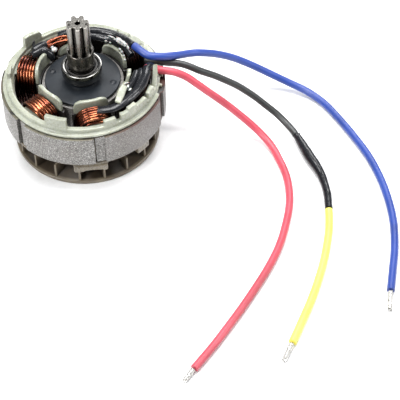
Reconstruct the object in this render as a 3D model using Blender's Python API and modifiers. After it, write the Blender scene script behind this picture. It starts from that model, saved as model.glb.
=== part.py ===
"""Small brushless motor: a wound stator, a rotor with pinion and fan, and three leads.

The motor stands on its fan with the shaft along +Z and the origin on the shaft's axis.
Angles are in degrees around +Z from +X.  Lengths are in metres.
"""
import math

import bmesh
import bpy
from mathutils import Matrix, Vector

MM = 0.001
GAP = 0.3 * MM
RING_STEPS = 48

# Stator stack
TEETH = 6
FIRST_TOOTH = 37.3
STACK_BOTTOM = 12.2 * MM
STACK_TOP = 23.2 * MM
STACK_R = 26.5 * MM
YOKE_IN_R = 22.0 * MM
BORE_R = 13.6 * MM
SHOE_R = 15.1 * MM
SHOE_HALF_ANGLE = 25.0
TOOTH_WIDTH = 6.4 * MM
KEYWAY_WIDTH = 3.5 * MM
KEYWAY_DEPTH = 0.8 * MM

# Nylon end frames
FLANGE_THICK = 0.9 * MM
FLANGE_R = 25.7 * MM
WALL_IN_R = 22.7 * MM
WALL_OUT_R = 24.4 * MM
RIM_TOP = 25.9 * MM
ARM_WIDTH = 6.9 * MM
EAR_IN_R = 13.9 * MM
EAR_THICK = 1.2 * MM
EAR_HALF_ANGLE = 22.5
EAR_HEIGHT = 5.3 * MM
BOTTOM_WALL_HEIGHT = 1.3 * MM

# Coils, wound around the teeth
COIL_START = 15.7 * MM
COIL_END = 21.6 * MM
COIL_BUILD = 2.8 * MM
COIL_CORNER_R = 5.0 * MM
COIL_HOLE_WIDTH = 7.6 * MM
COIL_HOLE_HEIGHT = STACK_TOP - STACK_BOTTOM + 2.0 * (FLANGE_THICK + 2.0 * GAP)

# Rotor
ROTOR_BOTTOM = 13.0 * MM
ROTOR_TOP = 23.6 * MM
ROTOR_R = 13.1 * MM
SHAFT_R = 3.0 * MM
SHAFT_BOTTOM = 0.4 * MM
SHAFT_TOP = 36.0 * MM
BORE_FIT_R = SHAFT_R + GAP
MAGNETS = 4
MAGNET_FIRST = 24.0
MAGNET_WIDTH = 12.6 * MM
MAGNET_THICK = 1.9 * MM
MAGNET_OFFSET = 9.2 * MM
END_PLATE_R = 12.2 * MM
END_PLATE_THICK = 0.9 * MM
DIMPLE_R = 10.2 * MM
DIMPLE_ANGLES = (157.0, 341.0)

# Ball bearings, one at each end of the shaft
BEARING_R = 6.5 * MM
BEARING_WIDTH = 3.5 * MM
OUTER_RING_IN_R = 5.45 * MM
INNER_RING_OUT_R = 4.2 * MM
BALLS = 8
BALL_R = 0.6 * MM
FRONT_BEARING_BOTTOM = 27.4 * MM
REAR_BEARING_BOTTOM = 0.4 * MM

# Pinion with its collar
PINION_TEETH = 7
PINION_FIRST_TOOTH = 266.0
PINION_TIP_R = 3.7 * MM
PINION_ROOT_R = 2.45 * MM
PINION_TOP = 48.75 * MM
COLLAR_R = 4.3 * MM
COLLAR_BOTTOM = 31.2 * MM
COLLAR_TOP = 37.2 * MM
VENT_R = 0.85 * MM

# Fan
BLADES = 18
FAN_R = 23.7 * MM
FAN_PLATE_THICK = 1.3 * MM
BLADE_TOP = 6.6 * MM
BLADE_THICK = 0.8 * MM
BLADE_ROOT_R = 8.0 * MM
BLADE_TIP_R = 23.2 * MM
BLADE_SWEEP = 16.0
HUB_R = 8.7 * MM
CUP_R = 7.3 * MM
CUP_DEPTH = 4.2 * MM

# Leads and sleeves
LEAD_R = 1.25 * MM
THIN_LEAD_R = 1.15 * MM
SPLICE_R = 1.5 * MM
SLEEVE_R = 1.35 * MM
WIDE_SLEEVE_R = 1.6 * MM
THIN_SLEEVE_R = 1.25 * MM
TIP_R = 0.8 * MM

parts = bpy.data.collections.new("brushless_motor")
cutters = bpy.data.collections.new("cutters")


def clear_scene():
    for item in list(bpy.data.objects):
        bpy.data.objects.remove(item)
    bpy.context.scene.collection.children.link(parts)
    bpy.context.scene.collection.children.link(cutters)


def material(name, colour, roughness, metallic):
    made = bpy.data.materials.get(name)
    if made is None:
        made = bpy.data.materials.new(name)
        made.use_nodes = True
        shader = made.node_tree.nodes["Principled BSDF"]
        shader.inputs["Base Color"].default_value = (*colour, 1.0)
        shader.inputs["Roughness"].default_value = roughness
        shader.inputs["Metallic"].default_value = metallic
    return made


LAMINATION = ("laminated_steel", (0.42, 0.41, 0.40), 0.5, 0.9)
NYLON = ("pale_nylon", (0.62, 0.65, 0.55), 0.45, 0.0)
COPPER = ("enamelled_copper", (0.45, 0.12, 0.05), 0.3, 0.8)
STEEL = ("ground_steel", (0.32, 0.31, 0.30), 0.3, 1.0)
BLACK_PLATE = ("black_end_plate", (0.03, 0.035, 0.04), 0.35, 0.2)
MAGNET = ("magnet", (0.2, 0.2, 0.21), 0.4, 0.8)
FAN_NYLON = ("smoky_fan_nylon", (0.35, 0.31, 0.24), 0.4, 0.0)
BLACK_SLEEVE = ("black_sleeve", (0.01, 0.012, 0.016), 0.3, 0.0)
WHITE_VARNISH = ("white_varnish", (0.8, 0.8, 0.78), 0.4, 0.0)
BLUE_JACKET = ("blue_jacket", (0.02, 0.08, 0.5), 0.4, 0.0)
RED_JACKET = ("red_jacket", (0.6, 0.06, 0.09), 0.4, 0.0)
BLACK_JACKET = ("black_jacket", (0.015, 0.015, 0.015), 0.4, 0.0)
YELLOW_JACKET = ("yellow_jacket", (0.8, 0.75, 0.1), 0.4, 0.0)
TINNED = ("tinned_strands", (0.7, 0.7, 0.68), 0.35, 1.0)


def polar(radius, angle):
    turn = math.radians(angle)
    return (radius * math.cos(turn), radius * math.sin(turn))


def arc(radius, start, end, steps):
    return [polar(radius, start + (end - start) * i / steps) for i in range(steps + 1)]


def tooth_angles():
    return [FIRST_TOOTH + 360.0 / TEETH * i for i in range(TEETH)]


def link(name, mesh, look):
    """Put a finished mesh into the parts collection under its own name."""
    part = bpy.data.objects.new(name, mesh)
    parts.objects.link(part)
    part.data.materials.clear()
    part.data.materials.append(material(*look))
    part.data.shade_smooth()
    part.data.set_sharp_from_angle(angle=math.radians(35.0))
    return part


def as_cutter(part):
    """Move a solid into the cutters collection, so that it only serves Booleans."""
    for group in list(part.users_collection):
        group.objects.unlink(part)
    cutters.objects.link(part)
    part.hide_render = True
    part.display_type = "WIRE"
    return part


def mesh_of_curve(curve):
    """Turn a curve object into a welded mesh and remove the curve."""
    graph = bpy.context.evaluated_depsgraph_get()
    mesh = bpy.data.meshes.new_from_object(curve.evaluated_get(graph))
    shell = bmesh.new()
    shell.from_mesh(mesh)
    bmesh.ops.remove_doubles(shell, verts=shell.verts, dist=0.001 * MM)
    bmesh.ops.recalc_face_normals(shell, faces=shell.faces)
    shell.to_mesh(mesh)
    shell.free()
    mesh.transform(curve.matrix_world)
    bpy.data.objects.remove(curve)
    return mesh


def plate(name, loops, low, high, look, frame=None):
    """Extrude flat outlines from low to high; a loop inside another is a hole."""
    data = bpy.data.curves.new(name + "_outline", "CURVE")
    data.dimensions = "2D"
    data.fill_mode = "BOTH"
    data.extrude = (high - low) / 2.0
    for loop in loops:
        spline = data.splines.new("POLY")
        spline.points.add(len(loop) - 1)
        for point, (x, y) in zip(spline.points, loop):
            point.co = (x, y, 0.0, 1.0)
        spline.use_cyclic_u = True
    curve = bpy.data.objects.new(name + "_outline", data)
    parts.objects.link(curve)
    lift = Matrix.Translation((0.0, 0.0, (low + high) / 2.0))
    curve.matrix_world = (frame or Matrix.Identity(4)) @ lift
    bpy.context.view_layer.update()
    return link(name, mesh_of_curve(curve), look)


def turned(name, profile, look, steps=48, closed=True):
    """Revolve (radius, height) points, which run down the outer side first."""
    mesh = bpy.data.meshes.new(name)
    edges = [(i, i + 1) for i in range(len(profile) - 1)]
    if closed:
        edges.append((len(profile) - 1, 0))
    mesh.from_pydata([(radius, 0.0, height) for radius, height in profile], edges, [])
    part = link(name, mesh, look)
    screw = part.modifiers.new("Turn", "SCREW")
    screw.angle = math.tau
    screw.steps = steps
    screw.render_steps = steps
    screw.use_merge_vertices = True
    screw.merge_threshold = 0.001 * MM
    return part


def boolean(part, other, operation):
    step = part.modifiers.new(operation.title(), "BOOLEAN")
    step.operation = operation
    step.solver = "EXACT"
    step.object = as_cutter(other)


def join(part, others):
    for other in others:
        boolean(part, other, "UNION")


def sector(name, inner, outer, start, end, low, high, look):
    """A piece of ring between two radii and two angles."""
    steps = max(2, int(abs(end - start) / 5.0))
    loop = arc(outer, start, end, steps) + arc(inner, end, start, steps)
    return plate(name, [loop], low, high, look)


def radial_frame(angle):
    """Local X runs around the motor, local Y up and local Z outwards."""
    turn = math.radians(angle)
    return Matrix((
        (-math.sin(turn), 0.0, math.cos(turn), 0.0),
        (math.cos(turn), 0.0, math.sin(turn), 0.0),
        (0.0, 1.0, 0.0, 0.0),
        (0.0, 0.0, 0.0, 1.0),
    ))


def rounded_box(width, low, high, radius, steps=3):
    """Outline of a rectangle with round corners and midpoints, centred on local X."""
    corners = (
        (width / 2.0 - radius, high - radius, 0.0),
        (-width / 2.0 + radius, high - radius, 90.0),
        (-width / 2.0 + radius, low + radius, 180.0),
        (width / 2.0 - radius, low + radius, 270.0),
    )
    loop = []
    for x, y, start in corners:
        for i in range(steps + 1):
            dx, dy = polar(radius, start + 90.0 * i / steps)
            loop.append((x + dx, y + dy))
        if start in (0.0, 180.0):
            loop.append((0.0, loop[-1][1]))
    return loop


def stator_core():
    """Lamination stack: a yoke with six teeth, and a keyway outside each tooth."""
    notch = math.degrees(math.asin(KEYWAY_WIDTH / 2.0 / STACK_R))
    floor_r = STACK_R - KEYWAY_DEPTH
    floor_notch = math.degrees(math.asin(KEYWAY_WIDTH / 2.0 / floor_r))
    yoke_flank = math.degrees(math.asin(TOOTH_WIDTH / 2.0 / YOKE_IN_R))
    shoe_flank = math.degrees(math.asin(TOOTH_WIDTH / 2.0 / SHOE_R))
    pitch = 360.0 / TEETH
    outer = []
    inner = []
    for angle in tooth_angles():
        outer += arc(floor_r, angle - floor_notch, angle + floor_notch, 1)
        outer += arc(STACK_R, angle + notch, angle + pitch - notch, 16)
        inner += [polar(YOKE_IN_R, angle - yoke_flank), polar(SHOE_R, angle - shoe_flank)]
        inner.append(polar(SHOE_R, angle - SHOE_HALF_ANGLE))
        inner += arc(BORE_R, angle - SHOE_HALF_ANGLE, angle + SHOE_HALF_ANGLE, 10)
        inner.append(polar(SHOE_R, angle + SHOE_HALF_ANGLE))
        inner += [polar(SHOE_R, angle + shoe_flank)]
        inner += arc(YOKE_IN_R, angle + yoke_flank, angle + pitch - yoke_flank, 8)[:-1]
    return plate("stator_core", [outer, inner], STACK_BOTTOM, STACK_TOP, LAMINATION)


def ear(name, angle, low, high):
    """Curved flange at a tooth's tip, with round corners, that holds the coil in."""
    bend = sector(name, EAR_IN_R, EAR_IN_R + EAR_THICK, angle - EAR_HALF_ANGLE,
                  angle + EAR_HALF_ANGLE, low, high, NYLON)
    width = 2.0 * EAR_IN_R * math.sin(math.radians(EAR_HALF_ANGLE)) + 0.6 * MM
    front = rounded_box(width, low - 1.0 * MM, high + 1.0 * MM, 3.2 * MM)
    window = plate(name + "_window", [front], EAR_IN_R - 3.0 * MM, EAR_IN_R + 3.0 * MM, NYLON,
                   radial_frame(angle))
    boolean(bend, window, "INTERSECT")
    return bend


def arm(name, angle, low, high):
    """Nylon strip along a tooth, from the ear out to the wall."""
    inner = EAR_IN_R + 0.2 * MM
    outer = WALL_IN_R + 0.4 * MM
    across = ARM_WIDTH / 2.0
    side = radial_frame(angle)
    out = Vector((side[0][2], side[1][2]))
    around = Vector((side[0][0], side[1][0]))
    loop = [tuple(out * r + around * t) for r, t in
            ((inner, -across), (outer, -across), (outer, across), (inner, across))]
    return plate(name, [loop], low, high, NYLON)


def top_insulator():
    """Upper end frame: flange, rim, arms and ears, with the tabs on its rim."""
    low = STACK_TOP + GAP
    flange_top = low + FLANGE_THICK
    part = turned("top_insulator", [
        (WALL_OUT_R, RIM_TOP), (WALL_OUT_R, flange_top), (FLANGE_R, flange_top),
        (FLANGE_R, low), (YOKE_IN_R + 0.3 * MM, low), (YOKE_IN_R + 0.3 * MM, flange_top),
        (WALL_IN_R, flange_top), (WALL_IN_R, RIM_TOP)], NYLON, steps=RING_STEPS)
    others = []
    for i, angle in enumerate(tooth_angles()):
        others.append(arm(f"top_arm_{i}", angle, low, flange_top))
        others.append(ear(f"top_ear_{i}", angle, low, low + EAR_HEIGHT))
    tabs = (
        (121.5, 129.7, 29.2), (129.7, 139.5, 30.2), (166.0, 176.0, 28.0), (237.0, 254.5, 29.8),
        (282.7, 292.5, 27.9), (296.5, 303.0, 28.2), (303.0, 311.5, 29.3), (311.5, 323.5, 27.8),
        (327.0, 336.0, 28.1), (340.0, 344.0, 27.2), (344.0, 348.5, 29.2), (348.5, 352.2, 31.2),
    )
    for i, (start, end, top) in enumerate(tabs):
        others.append(sector(f"top_tab_{i}", WALL_IN_R + 0.1 * MM, WALL_OUT_R - 0.1 * MM, start, end,
                             flange_top - 0.2 * MM, top * MM, NYLON))
    join(part, others)
    above_flange = flange_top + 0.3 * MM
    above_rim = RIM_TOP + 1.0 * MM
    inside = WALL_IN_R - 1.0 * MM
    outside = WALL_OUT_R + 0.9 * MM
    below_flange = low - 0.2 * MM
    openings = (
        ("lead_notch", -6.0, 12.5, inside, outside, above_flange, above_rim),
        ("rim_notch", 54.5, 57.0, inside, outside, above_flange, above_rim),
        ("tab_slit", 129.9, 131.5, inside, outside, 25.2 * MM, 26.7 * MM),
        ("flange_gap_1", -22.2, -14.0, 24.7 * MM, 26.2 * MM, below_flange, above_flange),
        ("flange_gap_2", -12.0, -4.0, 24.7 * MM, 26.2 * MM, below_flange, above_flange),
    )
    for name, start, end, inner, outer, bottom, top in openings:
        boolean(part, sector(name, inner, outer, start, end, bottom, top, NYLON), "DIFFERENCE")
    return part


def bottom_insulator():
    """Lower end frame: the same arms and ears below a low wall, with two feet."""
    high = STACK_BOTTOM - GAP
    flange_low = high - FLANGE_THICK
    wall_low = high - BOTTOM_WALL_HEIGHT
    wall_r = WALL_OUT_R - 0.2 * MM
    part = turned("bottom_insulator", [
        (FLANGE_R, high), (FLANGE_R, flange_low), (wall_r, flange_low), (wall_r, wall_low),
        (WALL_IN_R, wall_low), (WALL_IN_R, flange_low), (YOKE_IN_R + 0.3 * MM, flange_low),
        (YOKE_IN_R + 0.3 * MM, high)], NYLON, steps=RING_STEPS)
    others = []
    for i, angle in enumerate(tooth_angles()):
        others.append(arm(f"bottom_arm_{i}", angle, flange_low, high))
        others.append(ear(f"bottom_ear_{i}", angle, high - EAR_HEIGHT + 0.7 * MM, high))
    feet = ((257.5, 282.0, 24.5, 26.2, 8.6), (307.0, 319.0, 23.6, 25.6, 8.4))
    for i, (start, end, inner, outer, low) in enumerate(feet):
        others.append(sector(f"bottom_foot_{i}", inner * MM, outer * MM, start, end,
                             low * MM, high, NYLON))
    join(part, others)
    return part


def loft(name, loops, look):
    """Join loops of equally many points into a closed ring of faces."""
    count = len(loops[0])
    points = [point for loop in loops for point in loop]
    faces = []
    for i in range(len(loops)):
        here = i * count
        there = (i + 1) % len(loops) * count
        for j in range(count):
            k = (j + 1) % count
            faces.append((here + j, here + k, there + k, there + j))
    mesh = bpy.data.meshes.new(name)
    mesh.from_pydata(points, [], faces)
    return link(name, mesh, look)


def coils():
    """One racetrack-shaped winding around each tooth, bent to the stator's curve."""
    middle = (STACK_BOTTOM + STACK_TOP) / 2.0
    half = COIL_HOLE_HEIGHT / 2.0
    outer_half = half + COIL_BUILD
    hole = rounded_box(COIL_HOLE_WIDTH, middle - half, middle + half, 0.6 * MM, 4)
    outside = rounded_box(COIL_HOLE_WIDTH + 2.0 * COIL_BUILD, middle - outer_half,
                          middle + outer_half, COIL_CORNER_R, 4)
    sections = ((COIL_START, outside), (COIL_END, outside), (COIL_END, hole), (COIL_START, hole))
    for i, angle in enumerate(tooth_angles()):
        loops = []
        for radius, outline in sections:
            loops.append([(*polar(radius, angle + math.degrees(around / radius)), height)
                          for around, height in outline])
        loft(f"coil_{i + 1}", loops, COPPER)


def rotor_core():
    """Rotor laminations with four slots for the magnets."""
    rim = arc(ROTOR_R, 0.0, 360.0, RING_STEPS)[:-1]
    bore = arc(BORE_FIT_R, 0.0, 360.0, 32)[:-1]
    loops = [rim, bore]
    for i in range(MAGNETS):
        loops.append(magnet_outline(i, GAP))
    return plate("rotor_core", loops, ROTOR_BOTTOM, ROTOR_TOP, LAMINATION)


def magnet_outline(index, margin):
    turn = math.radians(MAGNET_FIRST + 360.0 / MAGNETS * index)
    out = Vector((math.cos(turn), math.sin(turn)))
    around = Vector((-math.sin(turn), math.cos(turn)))
    across = MAGNET_WIDTH / 2.0 + margin
    deep = MAGNET_THICK / 2.0 + margin
    corners = ((-deep, -across), (deep, -across), (deep, across), (-deep, across))
    return [tuple(out * (MAGNET_OFFSET + r) + around * t) for r, t in corners]


def magnets():
    for i in range(MAGNETS):
        plate(f"magnet_{i + 1}", [magnet_outline(i, 0.0)], ROTOR_BOTTOM + 0.2 * MM,
              ROTOR_TOP - 0.2 * MM, MAGNET)


def end_plates():
    """Black discs that close the rotor's ends; the front one has balancing dimples."""
    low = ROTOR_TOP + GAP
    high = low + END_PLATE_THICK
    front = turned("front_end_plate", [
        (END_PLATE_R - 0.3 * MM, high), (END_PLATE_R, high - 0.3 * MM), (END_PLATE_R, low),
        (BORE_FIT_R, low), (BORE_FIT_R, high)], BLACK_PLATE, steps=RING_STEPS)
    for i, angle in enumerate(DIMPLE_ANGLES):
        x, y = polar(DIMPLE_R, angle)
        bore = turned(f"dimple_{i}", [
            (0.0, high + 0.5 * MM), (1.1 * MM, high + 0.5 * MM), (1.1 * MM, high - 0.4 * MM),
            (0.0, high - 0.4 * MM)], BLACK_PLATE, steps=16, closed=False)
        bore.location = (x, y, 0.0)
        boolean(front, bore, "DIFFERENCE")
    rear_high = ROTOR_BOTTOM - GAP
    rear_low = rear_high - END_PLATE_THICK
    turned("rear_end_plate", [
        (END_PLATE_R, rear_high), (END_PLATE_R, rear_low), (BORE_FIT_R, rear_low),
        (BORE_FIT_R, rear_high)], BLACK_PLATE, steps=RING_STEPS)


def shaft():
    """Plain ground shaft with chamfered ends."""
    chamfer = 0.4 * MM
    turned("shaft", [
        (0.0, SHAFT_TOP), (SHAFT_R - chamfer, SHAFT_TOP), (SHAFT_R, SHAFT_TOP - chamfer),
        (SHAFT_R, SHAFT_BOTTOM + chamfer), (SHAFT_R - chamfer, SHAFT_BOTTOM),
        (0.0, SHAFT_BOTTOM)], STEEL, steps=32, closed=False)


def front_spacer():
    """Short tube between the front end plate and the front bearing."""
    low = ROTOR_TOP + END_PLATE_THICK + 2.0 * GAP
    high = FRONT_BEARING_BOTTOM - GAP
    turned("front_spacer", [
        (4.6 * MM, high), (4.6 * MM, low), (BORE_FIT_R, low), (BORE_FIT_R, high)], STEEL, steps=32)


def bearing(side, low):
    """Inner ring, outer ring, and one cage that carries all the balls."""
    high = low + BEARING_WIDTH
    chamfer = 0.25 * MM
    turned(f"{side}_inner_ring", [
        (INNER_RING_OUT_R, high), (INNER_RING_OUT_R, low), (BORE_FIT_R, low),
        (BORE_FIT_R, high)], STEEL, steps=32)
    turned(f"{side}_outer_ring", [
        (BEARING_R - chamfer, high), (BEARING_R, high - chamfer), (BEARING_R, low + chamfer),
        (BEARING_R - chamfer, low), (OUTER_RING_IN_R, low), (OUTER_RING_IN_R, high)],
        STEEL, steps=36)
    middle = (low + high) / 2.0
    track_r = (INNER_RING_OUT_R + OUTER_RING_IN_R) / 2.0
    cage = turned(f"{side}_ball_cage", [
        (track_r + 0.3 * MM, middle + 0.3 * MM), (track_r + 0.3 * MM, middle - 0.3 * MM),
        (track_r - 0.3 * MM, middle - 0.3 * MM), (track_r - 0.3 * MM, middle + 0.3 * MM)],
        STEEL, steps=3 * BALLS)
    balls = []
    for i in range(BALLS):
        shell = bmesh.new()
        bmesh.ops.create_icosphere(shell, subdivisions=2, radius=BALL_R)
        mesh = bpy.data.meshes.new(f"{side}_ball_{i}")
        shell.to_mesh(mesh)
        shell.free()
        ball = link(f"{side}_ball_{i}", mesh, STEEL)
        ball.location = (*polar(track_r, 360.0 / BALLS * i), middle)
        balls.append(ball)
    join(cage, balls)


def front_shield():
    """Thin dark washer that closes the front bearing between its rings."""
    high = FRONT_BEARING_BOTTOM + BEARING_WIDTH - 0.3 * MM
    low = high - 0.25 * MM
    inner = INNER_RING_OUT_R + GAP
    outer = OUTER_RING_IN_R - GAP
    turned("front_shield", [(outer, high), (outer, low), (inner, low), (inner, high)],
           BLACK_PLATE, steps=36)


def pinion():
    """Seven-tooth pinion in one piece with the collar that grips the shaft."""
    step = 360.0 / PINION_TEETH
    outline = []
    for i in range(PINION_TEETH):
        middle = PINION_FIRST_TOOTH + step * i
        outline.append(polar(PINION_ROOT_R, middle - 0.36 * step))
        outline.append(polar(0.45 * PINION_ROOT_R + 0.55 * PINION_TIP_R, middle - 0.25 * step))
        outline.append(polar(0.95 * PINION_TIP_R, middle - 0.17 * step))
        outline.append(polar(PINION_TIP_R, middle - 0.06 * step))
        outline.append(polar(PINION_TIP_R, middle + 0.06 * step))
        outline.append(polar(0.95 * PINION_TIP_R, middle + 0.17 * step))
        outline.append(polar(0.45 * PINION_ROOT_R + 0.55 * PINION_TIP_R, middle + 0.25 * step))
        outline.append(polar(PINION_ROOT_R, middle + 0.36 * step))
    vent = arc(VENT_R, 0.0, 360.0, 16)[:-1]
    gear = plate("pinion_teeth", [outline, vent], SHAFT_TOP + 0.5 * MM, PINION_TOP, STEEL)
    bore_top = SHAFT_TOP + GAP
    part = turned("pinion", [
        (COLLAR_R, COLLAR_TOP), (COLLAR_R, COLLAR_BOTTOM), (BORE_FIT_R, COLLAR_BOTTOM),
        (BORE_FIT_R, bore_top), (VENT_R, bore_top), (VENT_R, bore_top + 0.5 * MM),
        (COLLAR_R - 0.5 * MM, bore_top + 0.5 * MM), (COLLAR_R - 0.3 * MM, COLLAR_TOP)],
        STEEL, steps=32)
    join(part, [gear])


def fan():
    """Radial fan: a plate with a hub cup around the rear bearing, and curved blades."""
    sleeve_top = ROTOR_BOTTOM - 2.0 * GAP - END_PLATE_THICK
    part = turned("fan", [
        (5.2 * MM, sleeve_top), (5.2 * MM, CUP_DEPTH + 1.4 * MM), (HUB_R, CUP_DEPTH + 1.4 * MM),
        (HUB_R, FAN_PLATE_THICK), (FAN_R, FAN_PLATE_THICK), (FAN_R, 0.0), (CUP_R, 0.0),
        (CUP_R, CUP_DEPTH), (BORE_FIT_R, CUP_DEPTH), (BORE_FIT_R, sleeve_top)],
        FAN_NYLON, steps=RING_STEPS)
    blades = []
    rows = 3
    for i in range(BLADES):
        angle = 360.0 / BLADES * i
        near = []
        far = []
        for row in range(rows + 1):
            share = row / rows
            radius = BLADE_ROOT_R + (BLADE_TIP_R - BLADE_ROOT_R) * share
            bend = angle + BLADE_SWEEP * (1.0 - share) ** 2
            half = math.degrees(BLADE_THICK / 2.0 / radius)
            near.append(polar(radius, bend - half))
            far.append(polar(radius, bend + half))
        blades.append(plate(f"blade_{i}", [near + far[::-1]], FAN_PLATE_THICK - 0.4 * MM,
                            BLADE_TOP, FAN_NYLON))
    join(part, blades)


def smooth_route(points, spacing):
    """Evenly spaced points on the smooth curve through a route's own points."""
    route = [Vector(p) * MM for p in points]
    route = [2.0 * route[0] - route[1]] + route + [2.0 * route[-1] - route[-2]]
    fine = []
    for a, b, c, d in zip(route, route[1:], route[2:], route[3:]):
        for i in range(24):
            t = i / 24.0
            fine.append(0.5 * (2.0 * b + (c - a) * t + (2.0 * a - 5.0 * b + 4.0 * c - d) * t * t
                               + (3.0 * b - a - 3.0 * c + d) * t * t * t))
    fine.append(route[-2])
    length = sum((q - p).length for p, q in zip(fine, fine[1:]))
    count = max(2, round(length / spacing))
    even = [fine[0]]
    walked = 0.0
    for p, q in zip(fine, fine[1:]):
        stretch = (q - p).length
        while len(even) < count and walked + stretch >= length * len(even) / count:
            even.append(p.lerp(q, (length * len(even) / count - walked) / stretch))
        walked += stretch
    even.append(fine[-1])
    return even


def tube(name, points, radius, look, spacing=None):
    """A round cord along a route, as a bevelled curve with filled caps."""
    path = smooth_route(points, spacing or 5.0 * radius)
    data = bpy.data.curves.new(name, "CURVE")
    data.dimensions = "3D"
    data.bevel_depth = radius
    data.bevel_resolution = 2
    data.use_fill_caps = True
    spline = data.splines.new("POLY")
    spline.points.add(len(path) - 1)
    for point, place in zip(spline.points, path):
        point.co = (*place, 1.0)
    part = bpy.data.objects.new(name, data)
    data.materials.append(material(*look))
    parts.objects.link(part)
    return part


BLUE_ROUTE = (
    (17.4, 7.4, 29.8), (19.2, 5.2, 29.6), (20.8, 3.6, 29.2), (22.4, 2.7, 29.0), (24.2, 2.5, 28.9),
    (27.0, 2.6, 28.4), (31.2, 4.4, 26.6), (35.2, 6.7, 24.7), (38.7, 8.1, 23.2), (44.2, 10.6, 19.6),
    (49.6, 12.4, 15.6), (54.7, 13.2, 11.6), (59.6, 13.1, 8.0), (64.4, 12.0, 5.2), (69.0, 10.2, 3.2),
    (73.6, 7.5, 2.0), (77.5, 3.5, 1.5), (80.8, -1.7, 1.3), (86.0, -13.5, 1.3), (90.2, -25.6, 1.3),
    (92.5, -38.4, 1.3), (92.9, -51.6, 1.3), (91.4, -62.9, 1.3), (89.1, -72.3, 1.3), (87.1, -80.0, 1.3),
)
BLUE_TIP_ROUTE = ((87.0, -80.5, 1.3), (86.2, -83.9, 1.1), (85.5, -87.2, 0.9))
RED_ROUTE = (
    (20.6, -2.5, 28.8), (21.5, -1.3, 28.3), (22.8, -0.8, 27.2), (24.4, -0.9, 26.2), (26.2, -1.4, 26.0),
    (28.2, -1.8, 25.8), (30.4, -2.3, 25.2), (33.3, -3.1, 23.8), (36.4, -4.1, 21.3), (39.4, -4.8, 18.5),
    (42.6, -5.4, 15.5), (45.6, -5.9, 12.5), (48.6, -6.8, 9.6), (51.6, -8.2, 6.9), (54.3, -10.0, 4.7),
    (56.8, -12.6, 3.1), (58.9, -15.9, 2.0), (60.4, -20.1, 1.4), (62.2, -29.9, 1.3), (61.7, -40.1, 1.3),
    (59.1, -49.8, 1.3), (55.6, -58.7, 1.3), (51.1, -66.8, 1.3), (46.1, -74.3, 1.3), (41.1, -81.3, 1.3),
    (35.9, -88.1, 1.3), (30.8, -94.5, 1.3), (24.6, -101.6, 1.3),
)
RED_TIP_ROUTE = ((24.2, -102.0, 1.3), (22.8, -103.7, 1.1), (21.2, -105.4, 0.9))
BLACK_ROUTE = (
    (20.6, 4.3, 26.2), (22.4, 3.6, 26.2), (24.4, 3.0, 26.2), (27.0, 2.7, 25.6), (31.6, 2.2, 24.9),
    (34.8, 1.2, 24.1), (37.9, 0.2, 22.8), (42.6, 0.3, 19.9), (46.2, 0.3, 17.3), (49.8, 0.3, 14.5),
    (53.1, -0.2, 11.7), (56.3, -1.1, 9.0), (59.2, -2.6, 6.7), (62.1, -4.7, 4.9), (64.6, -7.5, 3.5),
    (66.9, -11.1, 2.6), (67.6, -12.9, 2.3),
)
SPLICE_ROUTE = (
    (67.9, -13.2, 2.3), (69.0, -16.6, 2.0), (70.8, -22.9, 2.0), (72.4, -27.4, 1.9), (73.5, -32.0, 1.7),
    (74.0, -38.7, 1.7), (73.6, -43.8, 1.7), (73.5, -45.4, 1.7),
)
YELLOW_ROUTE = (
    (73.4, -45.8, 1.6), (73.0, -49.2, 1.3), (71.9, -55.0, 1.3), (69.2, -64.4, 1.3), (65.9, -73.1, 1.3),
    (62.1, -81.5, 1.3), (58.0, -89.4, 1.3), (54.6, -95.8, 1.3),
)
YELLOW_TIP_ROUTE = ((54.3, -96.3, 1.3), (52.9, -98.9, 1.1), (51.3, -101.8, 0.9))
REAR_SLEEVE_ROUTE = (
    (-6.8, 16.9, 29.2), (-3.5, 17.1, 29.2), (0.5, 17.0, 29.2), (3.9, 16.8, 29.2), (7.1, 16.1, 29.2),
    (10.3, 14.7, 29.2), (12.9, 12.9, 29.2), (15.1, 10.6, 29.3), (16.5, 8.7, 29.6), (17.1, 7.8, 29.7),
)
SIDE_SLEEVE_ROUTE = (
    (3.8, -18.7, 29.4), (5.8, -19.1, 29.4), (8.2, -19.1, 29.4), (11.0, -17.8, 29.4),
    (13.6, -15.8, 29.4), (16.1, -13.3, 29.4), (18.4, -10.0, 29.4), (19.8, -6.6, 29.4),
    (20.3, -4.8, 29.2), (20.4, -3.8, 29.0),
)
INNER_SLEEVE_ROUTE = (
    (17.2, -4.0, 29.0), (16.5, -6.4, 29.1), (15.4, -9.0, 29.1), (13.9, -11.2, 29.1), (12.7, -12.4, 29.0),
)
LINK_SLEEVE_ROUTE = (
    (-14.9, 10.2, 28.9), (-13.0, 11.6, 28.9), (-11.6, 12.3, 28.9), (-10.6, 12.5, 28.8),
)


def leads():
    """Three leads, their sleeves and their tinned ends."""
    tube("blue_lead", BLUE_ROUTE, LEAD_R, BLUE_JACKET)
    tube("red_lead", RED_ROUTE, LEAD_R, RED_JACKET, 3.0 * MM)
    tube("black_lead", BLACK_ROUTE, THIN_LEAD_R, BLACK_JACKET)
    tube("splice_sleeve", SPLICE_ROUTE, SPLICE_R, BLACK_SLEEVE)
    tube("yellow_lead", YELLOW_ROUTE, LEAD_R, YELLOW_JACKET)
    tube("blue_tip", BLUE_TIP_ROUTE, TIP_R, TINNED)
    tube("red_tip", RED_TIP_ROUTE, TIP_R, TINNED)
    tube("yellow_tip", YELLOW_TIP_ROUTE, TIP_R, TINNED)


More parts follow.
